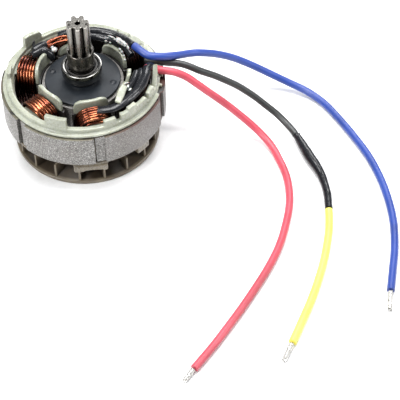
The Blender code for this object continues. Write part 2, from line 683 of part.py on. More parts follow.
def sleeves():
    """Black sleeves over the winding ends, lying on the coils inside the rim."""
    tube("rear_sleeve", REAR_SLEEVE_ROUTE, SLEEVE_R, BLACK_SLEEVE, 3.0 * MM)
    tube("side_sleeve", SIDE_SLEEVE_ROUTE, WIDE_SLEEVE_R, BLACK_SLEEVE, 3.0 * MM)
    tube("inner_sleeve", INNER_SLEEVE_ROUTE, THIN_SLEEVE_R, BLACK_SLEEVE, 3.0 * MM)
    tube("link_sleeve", LINK_SLEEVE_ROUTE, SLEEVE_R, BLACK_SLEEVE, 3.0 * MM)


def varnish_drop(name, centre, size, turn):
    """A rounded drop of hardened white varnish."""
    shell = bmesh.new()
    bmesh.ops.create_uvsphere(shell, u_segments=12, v_segments=8, radius=1.0)
    mesh = bpy.data.meshes.new(name)
    shell.to_mesh(mesh)
    shell.free()
    mesh.transform(Matrix.Diagonal((*[s * MM for s in size], 1.0)))
    drop = link(name, mesh, WHITE_VARNISH)
    drop.rotation_euler = (0.0, 0.0, math.radians(turn))
    drop.location = Vector(centre) * MM


def varnish():
    varnish_drop("rear_varnish", (13.2, 8.2, 29.6), (3.0, 0.7, 0.6), 131.0)
    varnish_drop("link_varnish", (-8.3, 10.7, 27.9), (1.1, 1.0, 0.9), 30.0)
    varnish_drop("side_varnish", (12.5, -8.8, 29.8), (0.6, 1.5, 0.6), -35.0)


clear_scene()
stator_core()
top_insulator()
bottom_insulator()
coils()
sleeves()
varnish()
leads()
rotor_core()
magnets()
end_plates()
shaft()
front_spacer()
bearing("front", FRONT_BEARING_BOTTOM)
bearing("rear", REAR_BEARING_BOTTOM)
front_shield()
pinion()
fan()
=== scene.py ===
"""Looks of the small brushless motor: wound coils, moulded nylon, pinion, fan and leads.

Lengths are in metres and angles in degrees around +Z from +X, as in the CAD model.
"""
import math
import random

import bmesh
import bpy
from mathutils import Matrix, Vector, noise


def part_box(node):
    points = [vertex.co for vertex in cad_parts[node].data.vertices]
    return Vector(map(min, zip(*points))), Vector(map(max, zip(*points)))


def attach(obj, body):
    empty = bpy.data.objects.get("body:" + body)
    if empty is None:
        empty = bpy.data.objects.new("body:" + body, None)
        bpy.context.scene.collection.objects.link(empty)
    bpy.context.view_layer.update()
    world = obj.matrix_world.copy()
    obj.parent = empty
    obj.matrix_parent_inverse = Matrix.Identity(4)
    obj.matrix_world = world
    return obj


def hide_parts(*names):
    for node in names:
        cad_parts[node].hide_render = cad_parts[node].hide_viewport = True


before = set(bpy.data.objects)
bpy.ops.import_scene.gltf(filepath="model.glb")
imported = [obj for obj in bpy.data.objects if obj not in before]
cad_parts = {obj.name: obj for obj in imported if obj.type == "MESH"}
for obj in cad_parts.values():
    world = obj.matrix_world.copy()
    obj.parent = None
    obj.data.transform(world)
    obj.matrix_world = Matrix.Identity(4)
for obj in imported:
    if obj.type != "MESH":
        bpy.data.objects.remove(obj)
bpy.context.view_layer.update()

MM = 0.001
TEETH = 6
FIRST_TOOTH = 37.3
STACK_BOTTOM, STACK_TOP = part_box("stator_core")[0][2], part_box("stator_core")[1][2]
LAMINATION_R = 26.5 * MM
YOKE_IN_R = 22.0 * MM
BORE_R = 13.6 * MM
SHOE_R = 15.1 * MM
SHOE_HALF_ANGLE = 25.0
TOOTH_WIDTH = 6.4 * MM
KEYWAY_WIDTH = 3.5 * MM
KEYWAY_DEPTH = 0.8 * MM
# The keyway that gets painted shade.
SHADED_KEYWAY_AT = 5
GROOVE_DEPTH = 0.8 * MM
GROOVE_ANGLE = 1.1
WIDE_GROOVE_ANGLE = 2.4
WIDE_GROOVE_AT = 3
WALL_IN_R = 22.7 * MM
WALL_OUT_R = 24.4 * MM
FLANGE_R = 25.7 * MM
FLANGE_THICK = 0.9 * MM
ARM_WIDTH = 6.9 * MM
EAR_IN_R = 13.9 * MM
EAR_OUT_R = 15.1 * MM
EAR_HALF_ANGLE = 22.5
EAR_CORNER_ANGLE = 14.0
TORN_EAR = 5
RING_STEPS = 180
SHARP_ANGLE = 32.0
ROUND_ANGLE = 60.0


# ---- camera, floor and light

def camera():
    """The photo's view, a long lens from the front and above."""
    data = bpy.data.cameras.new("camera")
    data.lens = 162.0
    data.sensor_width = 36.0
    data.sensor_fit = "HORIZONTAL"
    data.clip_start = 0.05
    data.clip_end = 10.0
    eye = bpy.data.objects.new("camera", data)
    bpy.context.scene.collection.objects.link(eye)
    eye.location = (0.00165, -0.41367, 0.43250)
    eye.rotation_euler = [math.radians(a) for a in (41.28, 1.253, -6.24)]
    bpy.context.scene.camera = eye


def area_light(name, place, target, size, power):
    data = bpy.data.lights.new(name, "AREA")
    data.shape = "RECTANGLE"
    data.size, data.size_y = size
    data.energy = power
    lamp = bpy.data.objects.new(name, data)
    bpy.context.scene.collection.objects.link(lamp)
    lamp.location = place
    lamp.rotation_euler = (Vector(target) - Vector(place)).to_track_quat("-Z", "Y").to_euler()


def studio():
    scene = bpy.context.scene
    scene.view_settings.view_transform = "Standard"
    world = bpy.data.worlds.new("studio")
    scene.world = world
    world.use_nodes = True
    sky = world.node_tree.nodes["Background"]
    sky.inputs["Color"].default_value = (0.95, 0.97, 1.0, 1.0)
    sky.inputs["Strength"].default_value = 0.33
    middle = (0.0, 0.0, 0.02)
    area_light("overhead", (0.02, 0.12, 0.75), middle, (0.50, 0.40), 8.0)
    area_light("left_strip", (-0.42, -0.30, 0.42), middle, (0.10, 0.45), 3.6)
    area_light("right_strip", (0.52, -0.10, 0.38), middle, (0.06, 0.40), 1.8)
    area_light("back_rim", (0.25, 0.55, 0.45), middle, (0.40, 0.20), 2.6)


def floor():
    """A pale sheet just under the lowest point of the motor."""
    half = 1.2
    points = [(-half, -half, 0.0), (half, -half, 0.0), (half, half, 0.0), (-half, half, 0.0)]
    ground = mesh_object("floor", points, [(0, 1, 2, 3)], paper())
    ground.location.z = -0.05 * MM


# ---- materials

class Look:
    """A material in the making: a Principled shader with object-space textures."""

    def __init__(self, name, metallic=0.0, **sockets):
        self.material = bpy.data.materials.new(name)
        self.material.use_nodes = True
        self.tree = self.material.node_tree
        self.shader = self.tree.nodes["Principled BSDF"]
        self.fill(self.shader, {"Metallic": metallic})
        self.fill(self.shader, {key.replace("_", " "): value for key, value in sockets.items()})
        self.place = self.node("TexCoord").outputs["Object"]

    def fill(self, node, sockets):
        """Link each socket to its source, or give it its constant."""
        for key, value in sockets.items():
            if isinstance(value, bpy.types.NodeSocket):
                self.tree.links.new(value, node.inputs[key])
            else:
                node.inputs[key].default_value = value

    def node(self, kind, sockets=None, operation=None):
        made = self.tree.nodes.new("ShaderNode" + kind)
        if operation:
            made.operation = operation
        self.fill(made, sockets or {})
        return made

    def noise(self, scale, detail=3.0, rough=0.55, stretch=(1.0, 1.0, 1.0)):
        place = self.node("Mapping", {"Vector": self.place, "Scale": stretch}).outputs["Vector"]
        made = self.node("TexNoise", {"Vector": place, "Scale": scale, "Detail": detail,
                                      "Roughness": rough})
        return made.outputs["Fac"]

    def ramp(self, source, *stops):
        made = self.node("ValToRGB", {"Fac": source})
        band = made.color_ramp
        while len(band.elements) < len(stops):
            band.elements.new(0.5)
        for element, (position, colour) in zip(band.elements, stops):
            element.position = position
            element.color = (*colour, 1.0)
        return made.outputs["Color"]

    def fade(self, source, dark, light):
        return self.ramp(source, (0.3, dark), (0.7, light))

    def mix(self, first, second, share=1.0, mode="MIX"):
        """Mix two colours; the share may vary over the surface."""
        made = self.node("Mix")
        made.data_type = "RGBA"
        made.blend_type = mode
        self.fill(made, {0: share, 6: first, 7: second})
        return made.outputs[2]

    def rise(self, source, start, end, low=0.0, high=1.0):
        """A number that goes from low to high while the source goes from start to end."""
        made = self.node("MapRange", {"Value": source, "From Min": start, "From Max": end,
                                      "To Min": low, "To Max": high})
        return made.outputs["Result"]

    def along(self, axis, start, end):
        """A share that rises from 0 to 1 along one axis of the object."""
        split = self.node("SeparateXYZ", {"Vector": self.place})
        return self.rise(split.outputs[axis], start, end)

    def outwards(self, start, end):
        """A share that rises from 0 to 1 with the distance from the shaft's axis."""
        flat = self.node("VectorMath", {0: self.place, 1: (1.0, 1.0, 0.0)}, "MULTIPLY")
        length = self.node("VectorMath", {0: flat.outputs["Vector"]}, "LENGTH")
        return self.rise(length.outputs["Value"], start, end)

    def larger(self, first, second):
        return self.node("Math", {0: first, 1: second}, "MAXIMUM").outputs["Value"]

    def surface(self, colour, grain, roughness, *bumps):
        """Colour, a roughness that follows the grain, and bumps as (source, depth, strength)."""
        if grain:
            roughness = self.rise(grain, 0.3, 0.7, *roughness)
        self.fill(self.shader, {"Base Color": colour, "Roughness": roughness})
        normal = None
        for source, depth, strength in bumps:
            made = self.node("Bump", {"Height": source, "Distance": depth, "Strength": strength})
            if normal:
                self.fill(made, {"Normal": normal})
            normal = made.outputs["Normal"]
            self.fill(self.shader, {"Normal": normal})
        return self.material


def once(make):
    """Keep one copy of each material."""
    made = {}

    def get(*key):
        if key not in made:
            made[key] = make(*key)
        return made[key]
    return get


def shade(colour, share):
    return tuple(c * share for c in colour)


@once
def paper():
    look = Look("pale_floor")
    fine = look.noise(900.0)
    return look.surface(look.fade(fine, (0.86, 0.86, 0.86), (0.9, 0.9, 0.9)), None, 0.7,
                        (fine, 0.02 * MM, 0.3))


@once
def lamination():
    """Stamped edges with a speckled grain: big bright specks on the left and a smoother, darker
    grain on the right, which is painted light, lit on the left and shaded on the right.
    """
    look = Look("speckled_lamination", 0.45)
    grain = look.noise(3000.0, 2.0, 0.7)
    patches = look.noise(130.0, 3.0, 0.6)
    lit_side_specks = look.ramp(grain, (0.33, (0.07, 0.068, 0.064)), (0.46, (0.165, 0.16, 0.153)),
                       (0.56, (0.24, 0.235, 0.226)), (0.7, (0.56, 0.55, 0.53)))
    smooth = look.ramp(grain, (0.34, (0.125, 0.118, 0.112)), (0.5, (0.185, 0.176, 0.169)),
                       (0.68, (0.29, 0.28, 0.27)))
    # Painted light: bright specks on the lit left side give way to darker, smoother grain on the
    # shaded right.
    specks = look.mix(lit_side_specks, smooth, look.along(0, 2.0 * MM, 16.0 * MM))
    tone = look.ramp(patches, (0.35, (0.84, 0.82, 0.8)), (0.65, (1.0, 1.0, 1.0)))
    return look.surface(look.mix(specks, tone, mode="MULTIPLY"), grain, (0.6, 0.4),
                        (grain, 0.03 * MM, 0.6))


@once
def stack_gap_shade():
    """Painted shade on the end faces seen in the flange gaps, in the grooves and in one keyway:
    olive painted shadow on the left, dark brown painted shade on the right.
    """
    look = Look("lamination_painted_gap_shade", 0.4)
    blotches = look.noise(420.0)
    brown = look.fade(blotches, (0.028, 0.012, 0.01), (0.085, 0.042, 0.032))
    olive = look.fade(blotches, (0.06, 0.055, 0.035), (0.15, 0.14, 0.1))
    return look.surface(look.mix(olive, brown, look.along(0, -4.0 * MM, 14.0 * MM)), blotches,
                        (0.35, 0.6), (blotches, 0.02 * MM, 0.4))


@once
def nylon(name, grain, *tones):
    look = Look(name, Subsurface_Weight=0.3, Subsurface_Scale=1.0 * MM, Coat_Weight=0.2,
                Coat_Roughness=0.12, IOR=1.5, Subsurface_Radius=(1.0, 0.9, 0.55))
    clouds = look.noise(140.0, 4.0, 0.6)
    fine = look.noise(1500.0, 2.0)
    return look.surface(look.ramp(clouds, *zip((0.3, 0.52, 0.75), tones)), fine, (0.2, 0.4),
                        (clouds, 0.2 * MM, 0.4), (fine, grain, 0.4))


def pale_nylon():
    return nylon("pale_nylon", 0.02 * MM, (0.23, 0.242, 0.19), (0.305, 0.319, 0.257),
                 (0.39, 0.405, 0.335))


# Beige-brown nylon, darkened further as painted shade for the moulding in the shadow under the
# stack.
def tan_nylon_painted_shade():
    return nylon("tan_nylon_painted_shade", 0.006 * MM, (0.085, 0.068, 0.046), (0.14, 0.118, 0.084),
                 (0.2, 0.174, 0.13))


@once
def fan_nylon():
    """Smoky brown nylon, darker on the floor between the blades as painted shade under the stator.
    """
    look = Look("smoky_fan_nylon", Subsurface_Weight=0.1, Subsurface_Scale=0.8 * MM,
                Coat_Weight=0.1, Coat_Roughness=0.2, IOR=1.5,
                Subsurface_Radius=(1.0, 0.8, 0.5))
    clouds = look.noise(160.0)
    fine = look.noise(1300.0)
    unshaded_tone = look.fade(clouds, (0.095, 0.075, 0.05), (0.18, 0.15, 0.105))
    # Painted shade: darker brown on the low floor between the blades, away from the rim and the
    # blade tops.
    floor_painted_shade = look.fade(clouds, (0.022, 0.016, 0.01), (0.055, 0.041, 0.027))
    edge = look.outwards(22.4 * MM, 23.1 * MM)
    height = look.along(2, 2.0 * MM, 6.4 * MM)
    return look.surface(look.mix(floor_painted_shade, unshaded_tone, look.larger(edge, height)), fine, (0.28, 0.45),
                        (fine, 0.03 * MM, 0.4))


@once
def enamelled_copper(start, end):
    """Enamelled wire, darker towards the bottom of the coils as painted shade, and darker from
    start to end along X.
    """
    look = Look("enamelled_copper", 1.0, Coat_Weight=0.5, Coat_Roughness=0.14)
    tint = look.noise(190.0, 2.0)
    scuff = look.noise(2600.0, 2.0)
    # Random tone of the wire; its brightest orange stop is partly painted highlight.
    unshaded_tone = look.ramp(tint, (0.3, (0.09, 0.016, 0.006)), (0.5, (0.19, 0.041, 0.014)),
                      (0.7, (0.58, 0.2, 0.085)))
    black = look.ramp(tint, (0.35, (0.01, 0.003, 0.002)), (0.7, (0.05, 0.009, 0.006)))
    # Painted shade: the wire darkens towards the bottom of the coils.
    lit = look.mix(black, unshaded_tone, look.along(2, 18.5 * MM, 27.0 * MM))
    return look.surface(look.mix(lit, black, look.along(0, start, end)), scuff, (0.16, 0.3),
                        (scuff, 0.01 * MM, 0.4))


@once
def steel(name, tone, roughness, stretch):
    """Turned or ground steel; the stretch squeezes its grain into rings."""
    look = Look(name, 1.0)
    turning = look.noise(900.0, 3.0, 0.6, (1.0, 1.0, stretch))
    blotches = look.noise(240.0, 2.0)
    base = look.fade(blotches, shade(tone, 0.8), tone)
    lines = look.fade(turning, (0.88, 0.88, 0.88), (1.0, 1.0, 1.0))
    return look.surface(look.mix(base, lines, mode="MULTIPLY"), turning, roughness,
                        (turning, 0.004 * MM, 0.4))


def ground_steel():
    return steel("ground_steel", (0.3, 0.29, 0.275), (0.22, 0.4), 9.0)


def bearing_steel():
    return steel("bearing_steel", (0.23, 0.225, 0.215), (0.12, 0.24), 12.0)


@once
def pinion_steel():
    """Dark hardened steel: bright on the tips and the end, near black in the flutes as painted
    shade.
    """
    look = Look("pinion_steel", 1.0)
    grain = look.noise(900.0, 3.0, 0.6, (4.0, 4.0, 1.0))
    worn = look.fade(grain, (0.19, 0.18, 0.165), (0.27, 0.26, 0.24))
    # Painted shade: near black steel in the flutes between the teeth.
    painted_flute_shade = look.fade(grain, (0.012, 0.011, 0.01), (0.035, 0.032, 0.029))
    collar = look.fade(grain, (0.1, 0.094, 0.085), (0.145, 0.136, 0.124))
    tips = look.larger(look.outwards(2.7 * MM, 3.55 * MM), look.along(2, 48.5 * MM, 48.7 * MM))
    teeth = look.mix(painted_flute_shade, worn, tips)
    return look.surface(look.mix(teeth, collar, look.outwards(4.0 * MM, 4.1 * MM)), grain,
                        (0.22, 0.38), (grain, 0.003 * MM, 0.4))


@once
def grained(name, metallic, scale, detail, stops, roughness, bump):
    """A surface whose one grain shows in its colour, its gloss and its relief."""
    look = Look(name, metallic)
    grain = look.noise(scale, detail)
    bumps = [(grain, bump, 0.5)] if bump else []
    return look.surface(look.ramp(grain, *stops), grain, roughness, *bumps)


# Near black on the faces inside the slots.
def near_black_slot_faces():
    return grained("near_black_slot_faces", 0.0, 400.0, 3.0, ((0.3, (0.008, 0.007, 0.006)),
                   (0.75, (0.03, 0.026, 0.022))), (0.3, 0.5), 0.05 * MM)


def rubber_seal():
    return grained("bearing_seal", 0.0, 2000.0, 2.0, ((0.3, (0.012, 0.011, 0.01)),
                   (0.7, (0.03, 0.027, 0.024))), (0.4, 0.6), 0.02 * MM)


def magnet_plating():
    return grained("magnet_plating", 1.0, 1800.0, 3.0, ((0.3, (0.3, 0.3, 0.31)),
                   (0.7, (0.5, 0.5, 0.51))), (0.25, 0.45), 0.0)


def tinned():
    return grained("tinned_strands", 1.0, 1500.0, 3.0, ((0.3, (0.34, 0.33, 0.31)),
                   (0.7, (0.72, 0.71, 0.68))), (0.2, 0.42), 0.05 * MM)


@once
def black_plate():
    look = Look("black_end_plate", Specular_IOR_Level=0.32)
    clouds = look.noise(170.0)
    fine = look.noise(2400.0, 2.0)
    return look.surface(look.fade(clouds, (0.007, 0.0095, 0.013), (0.017, 0.021, 0.026)), fine,
                        (0.32, 0.52), (fine, 0.015 * MM, 0.5))


@once
def heat_shrink():
    look = Look("heat_shrink", Specular_IOR_Level=0.38)
    creases = look.noise(420.0, 4.0, 0.6)
    fine = look.noise(2600.0, 2.0)
    return look.surface(look.fade(creases, (0.004, 0.0045, 0.006), (0.011, 0.012, 0.015)), fine,
                        (0.16, 0.32), (creases, 0.05 * MM, 0.4), (fine, 0.015 * MM, 0.4))


@once
def varnish():
    look = Look("white_varnish", Subsurface_Weight=0.2, Subsurface_Scale=0.6 * MM,
                Coat_Weight=0.5, Coat_Roughness=0.1)
    lumps = look.noise(600.0)
    tone = look.ramp(lumps, (0.36, (0.12, 0.12, 0.118)), (0.62, (0.7, 0.7, 0.68)))
    return look.surface(tone, lumps, (0.2, 0.45), (lumps, 0.08 * MM, 0.6))


@once
def jacket(name, colour):
    look = Look(name, Coat_Weight=0.12, Coat_Roughness=0.3, Subsurface_Weight=0.08,
                Subsurface_Scale=0.5 * MM)
    dirt = look.noise(95.0, 4.0, 0.6)
    fine = look.noise(2200.0, 2.0)
    bright = tuple(min(1.0, c * 1.12 + 0.01) for c in colour)
    tone = look.ramp(dirt, (0.28, shade(colour, 0.74)), (0.5, colour), (0.8, bright))
    return look.surface(tone, fine, (0.34, 0.52), (fine, 0.02 * MM, 0.5))


# ---- mesh tools

def polar(radius, angle, height=None):
    turn = math.radians(angle)
    place = (radius * math.cos(turn), radius * math.sin(turn))
    return place if height is None else (*place, height)


def tooth_angles():
    return [FIRST_TOOTH + 360.0 / TEETH * i for i in range(TEETH)]


def placed(name, mesh, look):
    """An object for a mesh, smooth and with one material."""
    mesh.materials.clear()
    mesh.materials.append(look)
    mesh.shade_smooth()
    piece = bpy.data.objects.new(name, mesh)
    bpy.context.scene.collection.objects.link(piece)
    return piece


def mesh_object(name, points, faces, look):
    mesh = bpy.data.meshes.new(name)
    mesh.from_pydata([tuple(p) for p in points], [], faces)
    return placed(name, mesh, look)


def sharpen(piece, angle=SHARP_ANGLE):
    piece.data.set_sharp_from_angle(angle=math.radians(angle))
    return piece


def face_outwards(mesh):
    body = bmesh.new()
    body.from_mesh(mesh)
    bmesh.ops.recalc_face_normals(body, faces=body.faces)
    body.to_mesh(mesh)
    body.free()


def evaluated_mesh(item):
    """A new mesh of the object as its curve or its modifiers make it."""
    graph = bpy.context.evaluated_depsgraph_get()
    return bpy.data.meshes.new_from_object(item.evaluated_get(graph))


def skin(rings, wrap=False):
    """Faces over a row of rings that have the same number of points each."""
    count = len(rings[0])
    points = [p for ring in rings for p in ring]
    faces = []
    for i in range(len(rings) if wrap else len(rings) - 1):
        low = i * count
        high = (i + 1) % len(rings) * count
        for j in range(count):
            k = (j + 1) % count
            faces.append((low + j, low + k, high + k, high + j))
    if not wrap:
        faces.append(tuple(range(count))[::-1])
        faces.append(tuple(range(len(points) - count, len(points))))
    return points, faces


def put_together(shells):
    """One list of points and one of faces from several of each."""
    points, faces = [], []
    for some_points, some_faces in shells:
        start = len(points)
        points += some_points
        faces += [tuple(start + i for i in face) for face in some_faces]
    return points, faces


def fillet(corners, radius, count):
    """Round the corners of a closed outline."""
    made = []
    for i, corner in enumerate(corners):
        here = Vector(corner)
        before = Vector(corners[i - 1]) - here
        after = Vector(corners[(i + 1) % len(corners)]) - here
        half = before.angle(after) / 2.0
        back = min(radius / math.tan(half), before.length * 0.48, after.length * 0.48)
        first = here + before.normalized() * back
        last = here + after.normalized() * back
        for step in range(count + 1):
            t = step / count
            made.append(tuple((first.lerp(here, t)).lerp(here.lerp(last, t), t)))
    return made


def turned(profile, steps, radius, count):
    """Revolve a closed (radius, height) outline; the outline's corners are rounded."""
    outline = fillet(profile, radius, count) if radius else profile
    return skin([[polar(r, 360.0 * i / steps, z) for i in range(steps)] for r, z in outline],
                wrap=True)


def plain_ring(inner, outer, low, high, steps=RING_STEPS, radius=0.0, count=2):
    return turned([(outer, high), (outer, low), (inner, low), (inner, high)], steps, radius, count)


def capped(profile, steps):
    """Revolve an open (radius, height) outline and close both its ends with caps."""
    return skin([[polar(r, 360.0 * i / steps, z) for i in range(steps)] for r, z in profile])


def finished(name, shell, look, angle=SHARP_ANGLE):
    """Make the object, with its faces pointing outwards."""
    piece = mesh_object(name, *shell, look)
    face_outwards(piece.data)
    return sharpen(piece, angle)


def wedge(inner, outer, start, end, low, high, step=1.5):
    """A piece of ring; low and high are numbers or functions of the angle."""
    steps = max(2, round(abs(end - start) / step))
    rings = []
    for i in range(steps + 1):
        a = start + (end - start) * i / steps
        z0 = low(a) if callable(low) else low
        z1 = high(a) if callable(high) else high
        rings.append([polar(outer, a, z1), polar(outer, a, z0), polar(inner, a, z0),
                      polar(inner, a, z1)])
    return skin(rings)


def block(angle, near, far, across, low, high):
    """A straight bar that runs outwards from radius near to radius far."""
    side = Vector(polar(1.0, angle + 90.0, 0.0))
    out = Vector(polar(1.0, angle, 0.0))
    rings = []
    for r in (near, far):
        rings.append([tuple(out * r + side * s * across / 2.0 + Vector((0.0, 0.0, z)))
                      for s, z in ((-1, low), (1, low), (1, high), (-1, high))])
    return skin(rings)


def moulded(name, shells, look, voxel, passes):
    """Fuse closed shells into one skin with softly rounded edges, as a moulding has."""
    piece = mesh_object(name, *put_together(shells), look)
    face_outwards(piece.data)
    remesh = piece.modifiers.new("Fuse", "REMESH")
    remesh.mode = "VOXEL"
    remesh.voxel_size = voxel
    soften = piece.modifiers.new("Soften", "SMOOTH")
    soften.factor = 0.5
    soften.iterations = passes
    mesh = evaluated_mesh(piece)
    piece.modifiers.clear()
    piece.data = mesh
    mesh.materials.clear()
    mesh.materials.append(look)
    mesh.shade_smooth()
    return piece


def smooth_route(points, spacing):
    """Evenly spaced points on the smooth curve through a route's own points."""
    route = [Vector(p) * MM for p in points]
    route = [2.0 * route[0] - route[1]] + route + [2.0 * route[-1] - route[-2]]
    fine = []
    for a, b, c, d in zip(route, route[1:], route[2:], route[3:]):
        for i in range(24):
            t = i / 24.0
            fine.append(0.5 * (2.0 * b + (c - a) * t + (2.0 * a - 5.0 * b + 4.0 * c - d) * t * t
                               + (3.0 * b - a - 3.0 * c + d) * t * t * t))
    fine.append(route[-2])
    length = path_length(fine)
    count = max(2, round(length / spacing))
    even = [fine[0]]
    walked = 0.0
    for p, q in zip(fine, fine[1:]):
        stretch = (q - p).length
        while len(even) < count and walked + stretch >= length * len(even) / count:
            even.append(p.lerp(q, (length * len(even) / count - walked) / stretch))
        walked += stretch
    even.append(fine[-1])
    return even


def path_length(path):
    return sum((q - p).length for p, q in zip(path, path[1:]))


def frames(path):
    """A direction and two side vectors at each point, turning as little as possible."""
    ahead = [(path[min(i + 1, len(path) - 1)] - path[max(i - 1, 0)]).normalized()
             for i in range(len(path))]
    side = ahead[0].orthogonal().normalized()
    made = []
    for direction in ahead:
        side = (side - direction * side.dot(direction)).normalized()
        made.append((direction, side, direction.cross(side)))
    return made


def tube(path, radius, sides, rounded=0.0):
    """A round skin along a path; radius is a number or a function of the share walked."""
    rings = []
    last = len(path) - 1
    for i, (place, (ahead, side, other)) in enumerate(zip(path, frames(path))):
        r = radius(i / last) if callable(radius) else radius
        rings.append([tuple(place + (side * math.cos(a) + other * math.sin(a)) * r)
                      for a in (math.tau * k / sides for k in range(sides))])
        if rounded and i in (0, last):
            out = ahead * (-rounded if i == 0 else rounded)
            lip = [tuple(place + out + (Vector(p) - place) * 0.72) for p in rings[-1]]
            rings.insert(0 if i == 0 else len(rings), lip)
    return skin(rings)


def own(piece, body, node):
    """The piece moves with a body and stands for a CAD node, which is hidden."""
    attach(piece, body)
    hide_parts(node)


def build(name, shells, look, body, node, angle=ROUND_ANGLE):
    """A piece out of closed shells, with its body and CAD node."""
    piece = finished(name, put_together(shells), look, angle)
    own(piece, body, node)
    return piece


# ---- leads

LEAD_R = 1.25 * MM
THIN_LEAD_R = 1.15 * MM
SPLICE_R = 1.5 * MM
SLEEVE_R = 1.35 * MM
WIDE_SLEEVE_R = 1.6 * MM
THIN_SLEEVE_R = 1.25 * MM
TAIL_R = 1.4 * MM
TIP_R = 0.8 * MM
BLUE_ROUTE = (
    (17.4, 7.4, 29.8), (19.2, 5.2, 29.6), (20.8, 3.6, 29.2), (22.4, 2.7, 29.0), (24.2, 2.5, 28.9),
    (27.0, 2.6, 28.4), (31.2, 4.4, 26.6), (35.2, 6.7, 24.7), (38.7, 8.1, 23.2), (44.2, 10.6, 19.6),
    (49.6, 12.4, 15.6), (54.7, 13.2, 11.6), (59.6, 13.1, 8.0), (64.4, 12.0, 5.2),
    (69.0, 10.2, 3.2), (73.6, 7.5, 2.0), (77.5, 3.5, 1.5), (80.8, -1.7, 1.3), (86.0, -13.5, 1.3),
    (90.2, -25.6, 1.3), (92.5, -38.4, 1.3), (92.9, -51.6, 1.3), (91.4, -62.9, 1.3),
    (89.1, -72.3, 1.3), (87.1, -80.0, 1.3),
)
BLUE_TIP_ROUTE = ((87.0, -80.5, 1.3), (86.2, -83.9, 1.1), (85.5, -87.2, 0.9))
RED_ROUTE = (
    (20.6, -2.5, 28.8), (21.5, -1.3, 28.3), (22.8, -0.8, 27.2), (24.4, -0.9, 26.2),
    (26.2, -1.4, 26.0), (28.2, -1.8, 25.8), (30.4, -2.3, 25.2), (33.3, -3.1, 23.8),
    (36.4, -4.1, 21.3), (39.4, -4.8, 18.5), (42.6, -5.4, 15.5), (45.6, -5.9, 12.5),
    (48.6, -6.8, 9.6), (51.6, -8.2, 6.9), (54.3, -10.0, 4.7), (56.8, -12.6, 3.1),
    (58.9, -15.9, 2.0), (60.4, -20.1, 1.4), (62.2, -29.9, 1.3), (61.7, -40.1, 1.3),
    (59.1, -49.8, 1.3), (55.6, -58.7, 1.3), (51.1, -66.8, 1.3), (46.1, -74.3, 1.3),
    (41.1, -81.3, 1.3), (35.9, -88.1, 1.3), (30.8, -94.5, 1.3), (24.6, -101.6, 1.3),
)
RED_TIP_ROUTE = ((24.2, -102.0, 1.3), (22.8, -103.7, 1.1), (21.2, -105.4, 0.9))
BLACK_ROUTE = (
    (20.6, 4.3, 26.2), (22.4, 3.6, 26.2), (24.4, 3.0, 26.2), (27.0, 2.7, 25.6), (31.6, 2.2, 24.9),
    (34.8, 1.2, 24.1), (37.9, 0.2, 22.8), (42.6, 0.3, 19.9), (46.2, 0.3, 17.3), (49.8, 0.3, 14.5),
    (53.1, -0.2, 11.7), (56.3, -1.1, 9.0), (59.2, -2.6, 6.7), (62.1, -4.7, 4.9), (64.6, -7.5, 3.5),
    (66.9, -11.1, 2.6), (67.6, -12.9, 2.3),
)
SPLICE_ROUTE = (
    (67.9, -13.2, 2.3), (69.0, -16.6, 2.0), (70.8, -22.9, 2.0), (72.4, -27.4, 1.9),
    (73.5, -32.0, 1.7), (74.0, -38.7, 1.7), (73.6, -43.8, 1.7), (73.5, -45.4, 1.7),
)
YELLOW_ROUTE = (
    (73.4, -45.8, 1.6), (73.0, -49.2, 1.3), (71.9, -55.0, 1.3), (69.2, -64.4, 1.3),
    (65.9, -73.1, 1.3), (62.1, -81.5, 1.3), (58.0, -89.4, 1.3), (54.6, -95.8, 1.3),
)
YELLOW_TIP_ROUTE = ((54.3, -96.3, 1.3), (52.9, -98.9, 1.1), (51.3, -101.8, 0.9))
REAR_SLEEVE_ROUTE = (
    (-6.8, 16.9, 29.2), (-3.5, 17.1, 29.2), (0.5, 17.0, 29.2), (3.9, 16.8, 29.2),
    (7.1, 16.1, 29.2), (10.3, 14.7, 29.2), (12.9, 12.9, 29.2), (15.1, 10.6, 29.3),
    (16.5, 8.7, 29.6), (17.1, 7.8, 29.7),
)
SIDE_SLEEVE_ROUTE = (
    (3.8, -18.7, 29.4), (5.8, -19.1, 29.4), (8.2, -19.1, 29.4), (11.0, -17.8, 29.4),
    (13.6, -15.8, 29.4), (16.1, -13.3, 29.4), (18.4, -10.0, 29.4), (19.8, -6.6, 29.4),
    (20.3, -4.8, 29.2), (20.4, -3.8, 29.0),
)
INNER_SLEEVE_ROUTE = (
    (17.2, -4.0, 29.0), (16.5, -6.4, 29.1), (15.4, -9.0, 29.1), (13.9, -11.2, 29.1),
    (12.7, -12.4, 29.0),
)
LINK_SLEEVE_ROUTE = (
    (-14.9, 10.2, 28.9), (-13.0, 11.6, 28.9), (-11.6, 12.3, 28.9), (-10.6, 12.5, 28.8),
)
BLUE = (0.013, 0.045, 0.26)
RED = (0.47, 0.052, 0.08)
BLACK = (0.018, 0.02, 0.02)
YELLOW = (0.84, 0.76, 0.12)


def lead(name, route, radius, look, node):
    path = smooth_route(route, 1.0 * MM)

    def thickness(share):
        wobble = noise.noise(Vector((share * len(path) * 0.12, radius * 1000.0, 0.5)))
        return radius * (1.0 + 0.012 * wobble)
    shell = tube(path, thickness, 20, 0.15 * MM)
    return build(name, [shell], look, "stator", node), path


